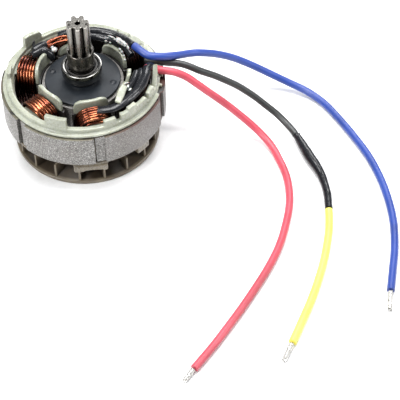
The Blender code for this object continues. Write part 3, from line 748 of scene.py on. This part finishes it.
def bare_tip(name, route, node, seed):
    """Six strands twisted round a middle one and tinned, with their ends cut unevenly."""
    chance = random.Random(seed)
    path = smooth_route(route, 0.25 * MM)
    sides = frames(path)
    strand_r = TIP_R * 0.36
    twists = 2.4
    shells = [tube(path, strand_r * 1.25, 8)]
    for k in range(6):
        start = math.tau * k / 6
        stop = len(path) - chance.choice((0, 0, 1, 2))
        line = []
        for i in range(stop):
            turn = start + twists * math.tau * i / len(path)
            _, side, other = sides[i]
            out = side * math.cos(turn) + other * math.sin(turn)
            line.append(path[i] + out * TIP_R * 0.62)
        shells.append(tube(line, strand_r, 8))
    return build(name, shells, tinned(), "stator", node)


def splice():
    """Shrunk sleeve over the joint, fat over the solder and tight on the wire behind it."""
    path = smooth_route(SPLICE_ROUTE, 0.5 * MM)

    def thickness(share):
        joint = math.exp(-((share - 0.3) / 0.26) ** 2)
        pinch = math.exp(-((share - 0.02) / 0.06) ** 2)
        wrinkle = 0.05 * noise.noise(Vector((share * 14.0, 0.0, 2.0)))
        return SPLICE_R * (0.84 + 0.3 * joint - 0.1 * pinch + wrinkle)
    return build("splice_heat_shrink", [tube(path, thickness, 24, 0.1 * MM)], heat_shrink(),
                 "stator", "splice_sleeve")


def leads():
    """The four wires with what hangs on each one's far end."""
    rows = (("blue", BLUE, BLUE_ROUTE, LEAD_R), ("red", RED, RED_ROUTE, LEAD_R),
            ("black", BLACK, BLACK_ROUTE, THIN_LEAD_R), ("yellow", YELLOW, YELLOW_ROUTE, LEAD_R))
    for hue, colour, route, radius in rows:
        lead(f"{hue}_wire", route, radius, jacket(f"{hue}_jacket", colour),
                          f"{hue}_lead")
    ends = {"black": splice()}
    for seed, (hue, route) in enumerate((("blue", BLUE_TIP_ROUTE), ("red", RED_TIP_ROUTE),
                                         ("yellow", YELLOW_TIP_ROUTE)), 1):
        ends[hue] = bare_tip(f"{hue}_wire_tip", route, f"{hue}_tip", seed)


# ---- stator

RIM_TOP = 25.9
# Start and end angle of each tab, and its top at both.
RIM_TABS = (
    (121.5, 123.2, 27.4, 28.7), (123.2, 129.7, 28.7, 29.2), (129.7, 139.5, 29.4, 30.2),
    (166.0, 176.0, 28.0, 28.0), (237.0, 254.5, 29.7, 29.8), (282.7, 292.5, 27.9, 27.9),
    (296.5, 323.5, 28.2, 27.8), (303.5, 311.5, 29.1, 29.3), (327.0, 336.0, 28.1, 28.1),
    (340.0, 346.0, 26.3, 28.6), (346.0, 352.2, 28.6, 31.1),
)
# Start and end angle, inner and outer radius, lowest height and rise of the underside.
FEET = ((257.5, 282.0, 24.5, 26.2, 8.1, 0.9), (307.0, 319.0, 23.6, 25.6, 8.4, 0.0))


def outline_plate(name, loops, low, high, look, bevel):
    """Extrude flat outlines, holes included, and break their edges."""
    data = bpy.data.curves.new(name + "_outline", "CURVE")
    data.dimensions = "2D"
    data.fill_mode = "BOTH"
    data.extrude = (high - low) / 2.0
    for loop in loops:
        spline = data.splines.new("POLY")
        spline.points.add(len(loop) - 1)
        for point, (x, y) in zip(spline.points, loop):
            point.co = (x, y, 0.0, 1.0)
        spline.use_cyclic_u = True
    curve = bpy.data.objects.new(name + "_outline", data)
    bpy.context.scene.collection.objects.link(curve)
    mesh = evaluated_mesh(curve)
    bpy.data.objects.remove(curve)
    body = bmesh.new()
    body.from_mesh(mesh)
    bmesh.ops.remove_doubles(body, verts=body.verts, dist=0.001 * MM)
    bmesh.ops.translate(body, verts=body.verts, vec=(0.0, 0.0, (low + high) / 2.0))
    bmesh.ops.recalc_face_normals(body, faces=body.faces)
    level = 0.1 * MM
    edges = [e for e in body.edges if len(e.link_faces) == 2
             and e.calc_face_angle() > math.radians(40.0)
             and abs(e.verts[0].co.z - e.verts[1].co.z) < level]
    bmesh.ops.bevel(body, geom=edges, offset=bevel, segments=2, affect="EDGES", profile=0.5)
    body.to_mesh(mesh)
    body.free()
    return sharpen(placed(name, mesh, look))


def arc(radius, start, end, steps):
    return [polar(radius, start + (end - start) * i / steps) for i in range(steps + 1)]


def half_angle(width, radius):
    return math.degrees(math.asin(width / 2.0 / radius))


def stack_outlines():
    """The outer outline with its keyways and the inner one with the teeth."""
    floor_r = LAMINATION_R - KEYWAY_DEPTH
    groove_r = floor_r - GROOVE_DEPTH
    notch = half_angle(KEYWAY_WIDTH, LAMINATION_R)
    floor_notch = half_angle(KEYWAY_WIDTH, floor_r)
    yoke_flank = half_angle(TOOTH_WIDTH, YOKE_IN_R)
    shoe_flank = half_angle(TOOTH_WIDTH, SHOE_R)
    pitch = 360.0 / TEETH
    outer, inner = [], []
    for i, a in enumerate(tooth_angles()):
        groove = WIDE_GROOVE_ANGLE if i == WIDE_GROOVE_AT else GROOVE_ANGLE
        outer += arc(groove_r, a - floor_notch, a - floor_notch + groove, 2)
        outer += arc(floor_r, a - floor_notch + groove, a + floor_notch, 4)
        outer += arc(LAMINATION_R, a + notch, a + pitch - notch, 32)
        inner += [polar(YOKE_IN_R, a - yoke_flank), polar(SHOE_R, a - shoe_flank),
                  polar(SHOE_R, a - SHOE_HALF_ANGLE)]
        inner += arc(BORE_R, a - SHOE_HALF_ANGLE, a + SHOE_HALF_ANGLE, 16)
        inner += [polar(SHOE_R, a + SHOE_HALF_ANGLE), polar(SHOE_R, a + shoe_flank)]
        inner += arc(YOKE_IN_R, a + yoke_flank, a + pitch - yoke_flank, 10)[:-1]
    return outer, inner


def lamination_stack():
    """Stamped outside, painted shade on the end faces, in the grooves and in one keyway, and near
    black in the slots.
    """
    piece = outline_plate("lamination_stack", stack_outlines(), STACK_BOTTOM, STACK_TOP,
                          lamination(), 0.15 * MM)
    piece.data.materials.append(stack_gap_shade())
    piece.data.materials.append(near_black_slot_faces())
    # Slot 1 is painted shade for the end faces, the grooves and one keyway; slot 2 is near black
    # for the slot faces.
    shade_slot, dark = 1, 2
    shaded_keyway = tooth_angles()[SHADED_KEYWAY_AT]
    for face in piece.data.polygons:
        x, y, _ = face.center
        turn = math.degrees(math.atan2(y, x)) % 360.0
        depth = LAMINATION_R - math.hypot(x, y)
        in_keyway = abs(turn - shaded_keyway) < 3.4 and depth < 3.0 * MM
        in_groove = 1.1 * MM < depth < 1.9 * MM
        if depth > 3.5 * MM:
            face.material_index = dark
        elif abs(face.normal.z) > 0.7 or in_keyway or in_groove:
            face.material_index = shade_slot
    own(piece, "stator", "stator_core")


def ear(angle, low, high, worn=None):
    """Curved flange in front of a coil; its two free corners are round."""
    drop = abs(high - low) * 0.5
    up = 1.0 if high > low else -1.0

    def edge(a):
        far = (abs(a - angle) - EAR_HALF_ANGLE + EAR_CORNER_ANGLE) / EAR_CORNER_ANGLE
        fall = 0.0 if far <= 0.0 else 1.0 - math.sqrt(max(0.0, 1.0 - min(far, 1.0) ** 2))
        chipped = worn(a - angle) if worn else 0.0
        return high - up * (drop * fall + chipped)
    return wedge(EAR_IN_R, EAR_OUT_R, angle - EAR_HALF_ANGLE, angle + EAR_HALF_ANGLE, low, edge)


def torn_edge(a):
    """How much is missing from the top of the ear that broke in two, at an angle."""
    split = 3.0 * math.exp(-((a + 1.5) / 3.0) ** 2)
    chip = 0.8 * math.exp(-((a - 13.0) / 3.0) ** 2)
    return (split + chip + 0.25 * noise.noise(Vector((a * 0.35, 0.0, 0.0)))) * MM


def sunk_edge(a):
    """How much lower the rear ear is on its left side, at an angle."""
    return 2.3 * MM / (1.0 + math.exp(-(a - 4.0) / 2.0))


def leant(shell, foot, amount):
    """Move a shell's points outwards, further the higher they are above the foot."""
    points, faces = shell
    moved = []
    for x, y, z in points:
        radius = math.hypot(x, y)
        grow = (radius + max(0.0, z - foot) * amount) / radius
        moved.append((x * grow, y * grow, z))
    return moved, faces


def splinter(low_end, high_end, width, thick):
    """A broken strip of nylon that leans between two points."""
    start, end = Vector(low_end) * MM, Vector(high_end) * MM
    ahead = (end - start).normalized()
    side = ahead.cross(Vector((0.0, -0.66, 0.75))).normalized()
    other = ahead.cross(side)
    rings = []
    for i in range(7):
        share = i / 6.0
        wide = width * (0.7 + 0.5 * math.sin(math.pi * (0.2 + 0.6 * share))) * MM
        place = start.lerp(end, share) + other * 0.5 * MM * math.sin(math.pi * share)
        rings.append([tuple(place + side * a * wide + other * b * thick * MM)
                      for a, b in ((-0.5, -0.5), (0.5, -0.5), (0.5, 0.5), (-0.5, 0.5))])
    return skin(rings)


def slope(start, end, first, last):
    return lambda a: (first + (last - first) * (a - start) / (end - start)) * MM


def soft_step(a, middle):
    """A share that goes from 0 to 1 within about a degree of the middle."""
    return 1.0 / (1.0 + math.exp(max(-60.0, min(60.0, -(a - middle) / 0.3))))


def rim_height(a):
    """Top of the upper rim at an angle: a little wavy, and broken away beside the blue lead."""
    shallow = 0.7 * (1.0 - soft_step(a, 44.0))
    deep = 1.9 * soft_step(a, 33.5) * (1.0 - soft_step(a, 46.0))
    spike = 0.9 * math.exp(-((a - 32.5) / 0.9) ** 2)
    wave = 0.12 * noise.noise(Vector((a * 0.06, 1.0, 0.0)))
    return (RIM_TOP - (shallow + deep) + spike + wave) * MM


def arm(angle, low, high):
    """The bar over a tooth, from its ear to the wall."""
    return block(angle, EAR_IN_R + 0.2 * MM, WALL_IN_R + 0.4 * MM, ARM_WIDTH, low, high)


def top_insulator():
    """The pale moulding: notched flange, broken rim with its tabs, and an ear for each coil."""
    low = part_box("top_insulator")[0][2]
    flange_top = low + FLANGE_THICK
    wall_low = low + 0.2 * MM
    seat = 24.7 * MM
    shells = [plain_ring(YOKE_IN_R + 0.3 * MM, seat + 0.1 * MM, low, flange_top)]
    for start, end in ((-4.0, 337.8), (346.0, 348.0)):
        shells.append(wedge(seat - 0.1 * MM, FLANGE_R, start, end, low, flange_top))
    for start, end in ((12.5, 54.5), (57.0, 354.0)):
        shells.append(wedge(WALL_IN_R, WALL_OUT_R, start, end, wall_low, rim_height, 1.0))
    for start, end, first, last in RIM_TABS:
        shells.append(wedge(WALL_IN_R + 0.1 * MM, WALL_OUT_R - 0.1 * MM, start, end, wall_low,
                            slope(start, end, first, last)))
    edges = {0: slope(-EAR_HALF_ANGLE, EAR_HALF_ANGLE, 0.4, 1.1), 1: sunk_edge, TORN_EAR: torn_edge}
    for i, a in enumerate(tooth_angles()):
        shells.append(arm(a, low, flange_top))
        flange = ear(a, low, low + 5.3 * MM, edges.get(i))
        shells.append(leant(flange, low + 1.5 * MM, 0.24) if i == TORN_EAR else flange)
    shells.append(splinter((10.1, -18.3, 30.5), (12.9, -11.6, 31.1), 1.9, 0.8))
    shells.append(splinter((11.9, -12.6, 27.6), (13.6, -11.4, 29.6), 0.9, 0.6))
    piece = moulded("top_end_frame", shells, pale_nylon(), 0.22 * MM, 4)
    own(piece, "stator", "top_insulator")


def arched(middle, half, low, rise):
    """A foot's underside: low at its ends and raised between them."""
    return lambda a: (low + rise * math.exp(-((a - middle) / half) ** 4)) * MM


def bottom_insulator():
    """The tan moulding: flange, low wall, two feet and an ear for each coil."""
    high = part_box("bottom_insulator")[1][2]
    flange_low = high - FLANGE_THICK
    shells = [plain_ring(YOKE_IN_R + 0.3 * MM, FLANGE_R, flange_low, high),
              plain_ring(WALL_IN_R, WALL_OUT_R, high - 1.3 * MM, high - 0.2 * MM)]
    for start, end, inner, outer, low, raised in FEET:
        middle = start + 0.55 * (end - start)
        sole = arched(middle, 0.3 * (end - start), low, raised)
        shells.append(wedge(inner * MM, outer * MM, start, end, sole, high - 1.1 * MM))
        shells.append(wedge((inner - 0.9) * MM, (inner + 0.4) * MM, start, end,
                            (low + 1.0) * MM, high))
    for a in tooth_angles():
        shells.append(arm(a, flange_low, high))
        shells.append(ear(a, high, high - 4.6 * MM))
    piece = moulded("bottom_end_frame", shells, tan_nylon_painted_shade(), 0.26 * MM, 3)
    own(piece, "stator", "bottom_insulator")


WIRE_R = 0.47 * MM
WIRE_PITCH = 0.97 * MM
COIL_START = 15.7 * MM
COIL_END = 21.6 * MM
COIL_BUILD = 2.8 * MM
COIL_HOLE_HALF = 3.8 * MM
LAYER_STEP = 0.85 * MM
LAYER_BULGES = (3.2, 2.8, 2.5)
TURN_STEPS = 44
FIRST_COIL_SEED = 40
# Spans along X over which a coil's wire darkens.
DARKENED_SPANS = {0: (0.0, 6.0 * MM), 1: (-2.0 * MM, 2.0 * MM), 5: (6.0 * MM, 12.0 * MM)}
UNDARKENED_SPAN = (20.0 * MM, 30.0 * MM)


def coil(index, angle):
    """Turns of round wire around a tooth, in three layers bent to the stator's curve."""
    chance = random.Random(FIRST_COIL_SEED + index)
    low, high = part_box(f"coil_{index}")[0][2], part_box(f"coil_{index}")[1][2]
    middle = (low + high) / 2.0
    hole_high = (high - low) / 2.0 - COIL_BUILD
    near, far = COIL_START + WIRE_R * 0.95, COIL_END - WIRE_R * 0.95
    path = []
    for layer, bulge in enumerate(LAYER_BULGES):
        grow = WIRE_R + layer * LAYER_STEP
        wide = COIL_HOLE_HALF + grow
        tall = hole_high + grow
        odd = layer % 2
        turns = 6 - odd
        first = COIL_START + WIRE_R + odd * WIRE_PITCH / 2.0 + 0.05 * MM
        loose = 1.0 if layer == len(LAYER_BULGES) - 1 else 0.3
        for turn in range(turns):
            order = turns - 1 - turn if odd else turn
            slack = chance.uniform(-0.14, 0.08) * MM * loose
            sway = chance.uniform(-0.08, 0.08) * MM
            skew = chance.uniform(-0.06, 0.06) * MM
            for step in range(TURN_STEPS):
                phase = math.tau * (step + 0.5) / TURN_STEPS
                c, s = math.cos(phase), math.sin(phase)
                size = (abs(c) ** bulge + abs(s) ** bulge) ** (-1.0 / bulge)
                x = (wide + slack) * c * size
                z = (tall + slack) * s * size
                drift = (step / TURN_STEPS - 0.5) * WIRE_PITCH * (-1.0 if odd else 1.0)
                if order in (0, turns - 1):
                    drift *= 0.3
                r = first + order * WIRE_PITCH + drift * 0.6 + sway * s + skew * c
                r = min(max(r, near), far)
                path.append(Vector(polar(r, angle + math.degrees(x / r), middle + z)))
    return tube(path, WIRE_R, 12)


def link_wires():
    """Loose turns that run from the rear coil to the left sleeve."""
    wires = []
    for back, lift, bow in ((0.0, 0.0, 0.2), (1.05, 0.35, 0.5), (2.0, -0.1, -0.1),
                            (3.1, 0.3, 0.4)):
        route = ((-1.5, 17.4 - back, 27.4 + lift), (-3.2, 17.0 - back, 28.1 + lift),
                 (-5.4, 16.2 - back + bow, 28.5 + lift),
                 (-8.0, 15.3 - 0.9 * back + bow, 28.4 + lift),
                 (-10.2, 14.5 - 0.8 * back, 28.0), (-11.6, 13.0 - 0.3 * back, 27.4))
        wires.append(tube(smooth_route(route, 0.5 * MM), WIRE_R * 0.95, 12))
    return wires


def coils():
    for i, angle in enumerate(tooth_angles()):
        look = enamelled_copper(*DARKENED_SPANS.get(i, UNDARKENED_SPAN))
        shells = [coil(i + 1, angle)] + (link_wires() if i == 1 else [])
        build(f"winding_{i + 1}", shells, look, "stator", f"coil_{i + 1}")


REAR_TAIL_ROUTE = (
    (0.0, 16.2, 28.0), (2.6, 15.9, 28.1), (5.2, 15.2, 28.2), (8.2, 13.9, 28.2), (11.0, 12.0, 28.2),
    (13.4, 9.7, 28.2), (15.2, 7.4, 28.1), (16.4, 5.0, 27.9),
)
LINK_LEG_ROUTE = (
    (-12.6, 11.0, 28.6), (-11.4, 10.3, 28.4), (-10.4, 9.8, 27.8), (-9.6, 9.4, 26.9),
    (-9.2, 9.2, 25.7),
)
LINK_WEB_ROUTE = (
    (-15.6, 9.0, 27.9), (-14.4, 9.6, 28.2), (-13.2, 10.2, 28.3), (-12.0, 10.8, 28.3),
    (-11.0, 11.6, 28.2),
)
SIDE_WEB_ROUTE = (
    (18.6, -2.2, 27.9), (18.6, -5.0, 28.2), (17.6, -8.2, 28.3), (15.9, -11.4, 28.3),
    (13.6, -14.0, 28.3), (11.4, -15.6, 28.2),
)
SLIT_TAIL_ROUTE = (
    (-14.7, 17.6, 26.2), (-14.9, 16.6, 25.9), (-15.0, 14.8, 26.2), (-15.1, 12.8, 27.4),
    (-14.8, 11.0, 28.6),
)


def shrunk(route, radius, seed, flat_start=0.0):
    """A heat-shrunk sleeve: a tube with lumps, creases and pinched ends."""
    path = smooth_route(route, 0.3 * MM)
    sides = 28
    rings = []
    last = len(path) - 1
    for i, (place, (_, side, other)) in enumerate(zip(path, frames(path))):
        lump = noise.noise(Vector((i * 0.035, seed, 1.0)))
        end = min(i, last - i) * 0.3
        pinch = 0.14 * math.exp(-end) if not (flat_start and i < last / 2) else 0.0
        squash = 0.55 * math.exp(-i * 0.3 / flat_start) if flat_start else 0.0
        seat = place - Vector((0.0, 0.0, squash * radius * 0.8))
        ring = []
        for k in range(sides):
            a = math.tau * k / sides
            c, s = math.cos(a), math.sin(a)
            crease = noise.noise(Vector((c * 1.3, s * 1.3, i * 0.09 + seed * 7.0)))
            fine = noise.noise(Vector((c * 3.5, s * 3.5, i * 0.3 + seed)))
            r = radius * (0.93 + 0.07 * lump - pinch + 0.06 * crease + 0.025 * fine)
            flat = side * c + other * s
            flat.z *= 1.0 - squash
            ring.append(tuple(seat + flat * r))
        rings.append(ring)
    return skin(rings)


def sleeves():
    """Heat-shrunk sleeves over the joints, with the thinner strands that hang on to them."""
    over_red = SIDE_SLEEVE_ROUTE[:-1] + ((20.6, -3.2, 28.9),) + RED_ROUTE[1:3]
    rear = [shrunk(REAR_SLEEVE_ROUTE, SLEEVE_R, 1.0, 3.0), shrunk(REAR_TAIL_ROUTE, TAIL_R, 5.0)]
    side = [shrunk(over_red, WIDE_SLEEVE_R, 2.0, 11.0)]
    inner = [shrunk(INNER_SLEEVE_ROUTE, THIN_SLEEVE_R, 4.0), shrunk(SIDE_WEB_ROUTE, 1.2 * MM, 7.0)]
    link = [shrunk(LINK_SLEEVE_ROUTE, WIDE_SLEEVE_R, 3.0), shrunk(LINK_LEG_ROUTE, TAIL_R, 6.0),
            shrunk(LINK_WEB_ROUTE, WIDE_SLEEVE_R, 9.0), shrunk(SLIT_TAIL_ROUTE, 0.45 * MM, 8.0)]
    for place, shells in (("rear", rear), ("side", side), ("inner", inner), ("link", link)):
        build(f"{place}_heat_shrink", shells, heat_shrink(), "stator",
              f"{place}_sleeve")


def bead(centre, size, turn, detail=3):
    """A lumpy bead of hardened varnish, as points and faces."""
    body = bmesh.new()
    bmesh.ops.create_icosphere(body, subdivisions=detail, radius=1.0)
    turned_by = Matrix.Rotation(math.radians(turn), 3, "Z")
    points = []
    for vert in body.verts:
        lump = noise.noise(vert.co * 1.7 + Vector(centre)) + 0.5 * noise.noise(vert.co * 4.0)
        scaled = Vector([c * s for c, s in zip(vert.co * (1.0 + 0.22 * lump), size)])
        points.append(tuple((turned_by @ scaled + Vector(centre)) * MM))
    faces = [tuple(v.index for v in face.verts) for face in body.faces]
    body.free()
    return points, faces


def drops():
    """Beads of varnish: one big one with thin white streaks beside it, partly varnish splashes and
    partly painted highlight, and a row along the rear ear.
    """
    rear = [bead((13.5, 9.4, 29.8), (2.4, 0.95, 0.8), 130.0, 4),
            # These thin white streaks stand partly for varnish splashes and partly for painted
            # highlight on the sleeve.
            bead((12.2, 10.4, 29.8), (1.5, 0.3, 0.35), 140.0),
            bead((12.9, 11.2, 29.9), (1.2, 0.25, 0.3), 136.0),
            bead((10.4, 12.3, 29.9), (1.5, 0.3, 0.3), 146.0),
            bead((9.2, 12.5, 29.4), (1.1, 0.25, 0.3), 152.0),
            bead((15.3, 7.4, 29.4), (0.9, 0.5, 0.45), 110.0)]
    for turn, height, size in ((54.0, 28.6, 0.35), (48.0, 28.8, 0.28), (30.0, 28.8, 0.36),
                               (25.0, 28.6, 0.42), (20.5, 28.0, 0.34), (17.5, 27.0, 0.4)):
        x, y = polar(14.7, turn)
        rear.append(bead((x, y, height), (size, size * 1.6, size), turn))
    link = [bead((-8.3, 10.7, 28.0), (1.0, 0.8, 0.8), 30.0, 4),
            bead((-8.9, 11.5, 28.5), (0.5, 0.4, 0.35), 30.0)]
    side = [bead((14.0, -11.0, 30.0), (0.4, 0.9, 0.35), -15.0, 4),
            bead((14.5, -12.4, 29.9), (0.3, 0.7, 0.3), -45.0),
            bead((13.6, -9.6, 30.0), (0.9, 0.25, 0.3), 20.0)]
    for place, shells in (("rear", rear), ("link", link), ("side", side)):
        build(f"{place}_varnish_bead", shells, varnish(), "stator",
              f"{place}_varnish")


# ---- rotor

SHAFT_R = 3.0 * MM
BORE_FIT_R = 3.3 * MM
PINION_TEETH = 7
PINION_FIRST_TOOTH = 266.0
PINION_TIP_R = 3.7 * MM
PINION_ROOT_R = 2.45 * MM
PINION_TOP = 48.75 * MM
COLLAR_R = 4.3 * MM
COLLAR_BOTTOM = 31.2 * MM
COLLAR_TOP = 37.2 * MM
VENT_R = 0.85 * MM
VENT_DEPTH = 3.0 * MM
COLLAR_FLOOR = 36.3 * MM
LOBE_R = 0.8 * MM
LOBE_AT = PINION_TIP_R - LOBE_R
DIMPLE_AT_R = 10.2 * MM
DIMPLE_ANGLES = (157.0, 341.0)
BALLS = 8
BALL_R = 0.6 * MM
CAGE_HALF_WIDTH = 0.25 * MM
CAGE_HALF_HEIGHT = 0.35 * MM
FAN_PLATE_R = 23.7 * MM
FAN_PLATE_TOP = 1.3 * MM
CUP_IN_R = 7.3 * MM
CUP_OUT_R = 8.7 * MM
CUP_ROOF = 4.2 * MM
CUP_ROOF_THICK = 1.4 * MM
FAN_SLEEVE_R = 5.2 * MM
BLADES = 18
BLADE_START = 8.2 * MM
BLADE_LENGTH = 15.0 * MM
BLADE_TOP = 6.6 * MM
BLADE_SWEEP = 16.0
BLADE_END_SHARE = 0.925
MAGNETS = 4


def lobe(off):
    """Radius of a tooth's round lobe at an angle from its middle."""
    a = math.radians(off)
    return LOBE_AT * math.cos(a) + math.sqrt(LOBE_R ** 2 - (LOBE_AT * math.sin(a)) ** 2)


def tooth_shape(turn):
    """The pinion's radius at an angle: round lobes with round roots between them."""
    step = 360.0 / PINION_TEETH
    off = abs((turn - PINION_FIRST_TOOTH + step / 2.0) % step - step / 2.0)
    flank, root = 13.0, 18.5
    if off <= flank:
        return lobe(off)
    t = min(1.0, (off - flank) / (root - flank))
    blend = t * t * (3.0 - 2.0 * t)
    return lobe(flank) * (1.0 - blend) + PINION_ROOT_R * blend


def pinion():
    """Gear and collar in one skin, walked from the vent over the end and down to the bore."""
    steps = PINION_TEETH * 32
    turns = [360.0 * i / steps for i in range(steps)]
    shape = [tooth_shape(a) for a in turns]
    gap = [(PINION_TIP_R - r) / (PINION_TIP_R - PINION_ROOT_R) for r in shape]

    def ring(radius, height):
        return [polar(radius(i) if callable(radius) else radius, a,
                      height(i) if callable(height) else height) for i, a in enumerate(turns)]
    rings = [
        ring(VENT_R, PINION_TOP - VENT_DEPTH), ring(VENT_R, PINION_TOP - 0.15 * MM),
        ring(VENT_R + 0.15 * MM, PINION_TOP), ring(VENT_R + 0.2 * MM, PINION_TOP),
        ring(lambda i: shape[i] - 0.2 * MM, PINION_TOP),
        ring(lambda i: shape[i] - 0.16 * MM, PINION_TOP),
        ring(lambda i: shape[i] - 0.04 * MM, PINION_TOP - 0.05 * MM),
        ring(lambda i: shape[i], PINION_TOP - 0.18 * MM),
        ring(lambda i: shape[i], lambda i: COLLAR_TOP + 0.6 * MM - 1.6 * MM * gap[i]),
        ring(lambda i: shape[i] + 0.1 * MM * gap[i],
             lambda i: COLLAR_TOP + 0.1 * MM - 1.7 * MM * gap[i]),
        ring(lambda i: max(shape[i] + 0.1 * MM, 3.78 * MM - 0.1 * MM * (1.0 - gap[i])),
             lambda i: COLLAR_TOP - 0.25 * MM * gap[i]),
        ring(3.95 * MM, COLLAR_TOP), ring(4.18 * MM, COLLAR_TOP),
        ring(COLLAR_R, COLLAR_TOP - 0.12 * MM), ring(COLLAR_R, COLLAR_BOTTOM + 0.2 * MM),
        ring(COLLAR_R - 0.2 * MM, COLLAR_BOTTOM), ring(BORE_FIT_R, COLLAR_BOTTOM),
        ring(BORE_FIT_R, COLLAR_FLOOR), ring(VENT_R, COLLAR_FLOOR),
    ]
    build("pinion_gear", [skin(rings, wrap=True)], pinion_steel(), "rotor", "pinion",
          40.0)


def front_plate():
    """Black disc with a rolled edge and two shallow round dimples."""
    low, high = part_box("front_end_plate")
    top = high[2]
    shell = plain_ring(BORE_FIT_R, high[0], low[2], top, 160, 0.3 * MM, 4)
    piece = finished("rotor_front_plate", shell, black_plate())
    bowl = capped([(0.15 * MM, top - 0.5 * MM), (0.7 * MM, top - 0.38 * MM),
                   (1.05 * MM, top - 0.12 * MM), (1.15 * MM, top + 0.5 * MM)], 32)
    for i, angle in enumerate(DIMPLE_ANGLES):
        cut = finished(f"dimple_cutter_{i}", bowl, black_plate())
        cut.location = polar(DIMPLE_AT_R, angle, 0.0)
        bpy.context.view_layer.update()
        step = piece.modifiers.new("Dimple", "BOOLEAN")
        step.operation = "DIFFERENCE"
        step.solver = "EXACT"
        step.object = cut
        mesh = evaluated_mesh(piece)
        piece.modifiers.clear()
        piece.data = mesh
        bpy.data.objects.remove(cut)
    piece.data.shade_smooth()
    sharpen(piece, 30.0)
    own(piece, "rotor", "front_end_plate")


def ring_piece(name, node, look, body, radius=0.15 * MM):
    """A plain turned ring with the CAD node's own size and softly broken edges."""
    low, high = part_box(node)
    inner = min(math.hypot(v.co.x, v.co.y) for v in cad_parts[node].data.vertices)
    shell = plain_ring(inner, high[0], low[2], high[2], 96, radius)
    build(name, [shell], look, body, node, SHARP_ANGLE)


def ball(x, y, z):
    """A closed ball in rows around a vertical axis."""
    rings = []
    for row in range(1, 12):
        lean = math.pi * row / 12
        wide = BALL_R * math.sin(lean)
        rings.append([(x + wide * math.cos(math.tau * k / 16),
                       y + wide * math.sin(math.tau * k / 16),
                       z + BALL_R * math.cos(lean)) for k in range(16)])
    return skin(rings)


def bearing(side):
    ring_piece(f"{side}_bearing_outer", f"{side}_outer_ring", bearing_steel(),
               f"{side}_bearing", 0.28 * MM)
    ring_piece(f"{side}_bearing_inner", f"{side}_inner_ring", bearing_steel(), "rotor")
    low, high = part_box(f"{side}_ball_cage")
    middle = (low[2] + high[2]) / 2.0
    track = high[0] - BALL_R
    shells = [plain_ring(track - CAGE_HALF_WIDTH, track + CAGE_HALF_WIDTH,
                         middle - CAGE_HALF_HEIGHT, middle + CAGE_HALF_HEIGHT, 96, 0.08 * MM)]
    for i in range(BALLS):
        shells.append(ball(*polar(track, 360.0 / BALLS * i), middle))
    build(f"{side}_bearing_balls", shells, bearing_steel(), f"{side}_cage",
          f"{side}_ball_cage")


def plain_turned():
    ring_piece("bearing_seal", "front_shield", rubber_seal(), "front_bearing")
    ring_piece("spacer_tube", "front_spacer", ground_steel(), "rotor")
    ring_piece("rotor_rear_plate", "rear_end_plate", black_plate(), "rotor")
    low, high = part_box("shaft")
    cut = 0.4 * MM
    shell = capped([(SHAFT_R - cut, low[2]), (SHAFT_R, low[2] + cut),
                    (SHAFT_R, high[2] - cut), (SHAFT_R - cut, high[2])], 64)
    build("rotor_shaft", [shell], ground_steel(), "rotor", "shaft", SHARP_ANGLE)


def blade(angle):
    """One curved blade, with its top rounded and its two ends a little thinner."""
    foot, shoulder = FAN_PLATE_TOP - 0.3 * MM, FAN_PLATE_TOP + 0.4 * MM
    edge = BLADE_TOP - 0.2 * MM
    section = ((-1.25, foot), (1.25, foot), (1.0, shoulder), (0.85, edge), (0.5, BLADE_TOP),
               (-0.5, BLADE_TOP), (-0.85, edge), (-1.0, shoulder))
    rows = 14
    rings = []
    for row in range(rows + 1):
        share = row / rows
        bend = math.radians(angle + BLADE_SWEEP * (1.0 - share) ** 2)
        out = Vector((math.cos(bend), math.sin(bend), 0.0))
        side = Vector((-out.y, out.x, 0.0))
        place = out * (BLADE_START + BLADE_LENGTH * share)
        thick = (0.5 - 0.12 * share) * MM
        thinned = BLADE_END_SHARE if row in (0, rows) else 1.0
        rings.append([tuple(place + side * s * thick * thinned + Vector((0.0, 0.0, z)))
                      for s, z in section])
    return skin(rings)


def fan():
    """Plate with a hub cup around the rear bearing, and curved blades on top."""
    sleeve_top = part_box("fan")[1][2]
    roof_top = CUP_ROOF + CUP_ROOF_THICK
    shells = [turned([
        (FAN_SLEEVE_R, sleeve_top), (FAN_SLEEVE_R, roof_top), (CUP_OUT_R, roof_top),
        (CUP_OUT_R, FAN_PLATE_TOP), (FAN_PLATE_R, FAN_PLATE_TOP), (FAN_PLATE_R, 0.0),
        (CUP_IN_R, 0.0), (CUP_IN_R, CUP_ROOF), (BORE_FIT_R, CUP_ROOF),
        (BORE_FIT_R, sleeve_top)], 160, 0.25 * MM, 3)]
    for i in range(BLADES):
        shells.append(blade(360.0 / BLADES * i))
    build("cooling_fan", shells, fan_nylon(), "rotor", "fan", SHARP_ANGLE)


def kept_nodes():
    """CAD pieces whose own shape is right get their real surfaces."""
    looks = {"rotor_core": lamination()}
    for i in range(MAGNETS):
        looks[f"magnet_{i + 1}"] = magnet_plating()
    for node, look in looks.items():
        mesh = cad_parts[node].data
        mesh.materials.clear()
        mesh.materials.append(look)


camera()
leads()
studio()
floor()
lamination_stack()
top_insulator()
bottom_insulator()
coils()
sleeves()
drops()
pinion()
front_plate()
bearing("front")
bearing("rear")
plain_turned()
fan()
kept_nodes()
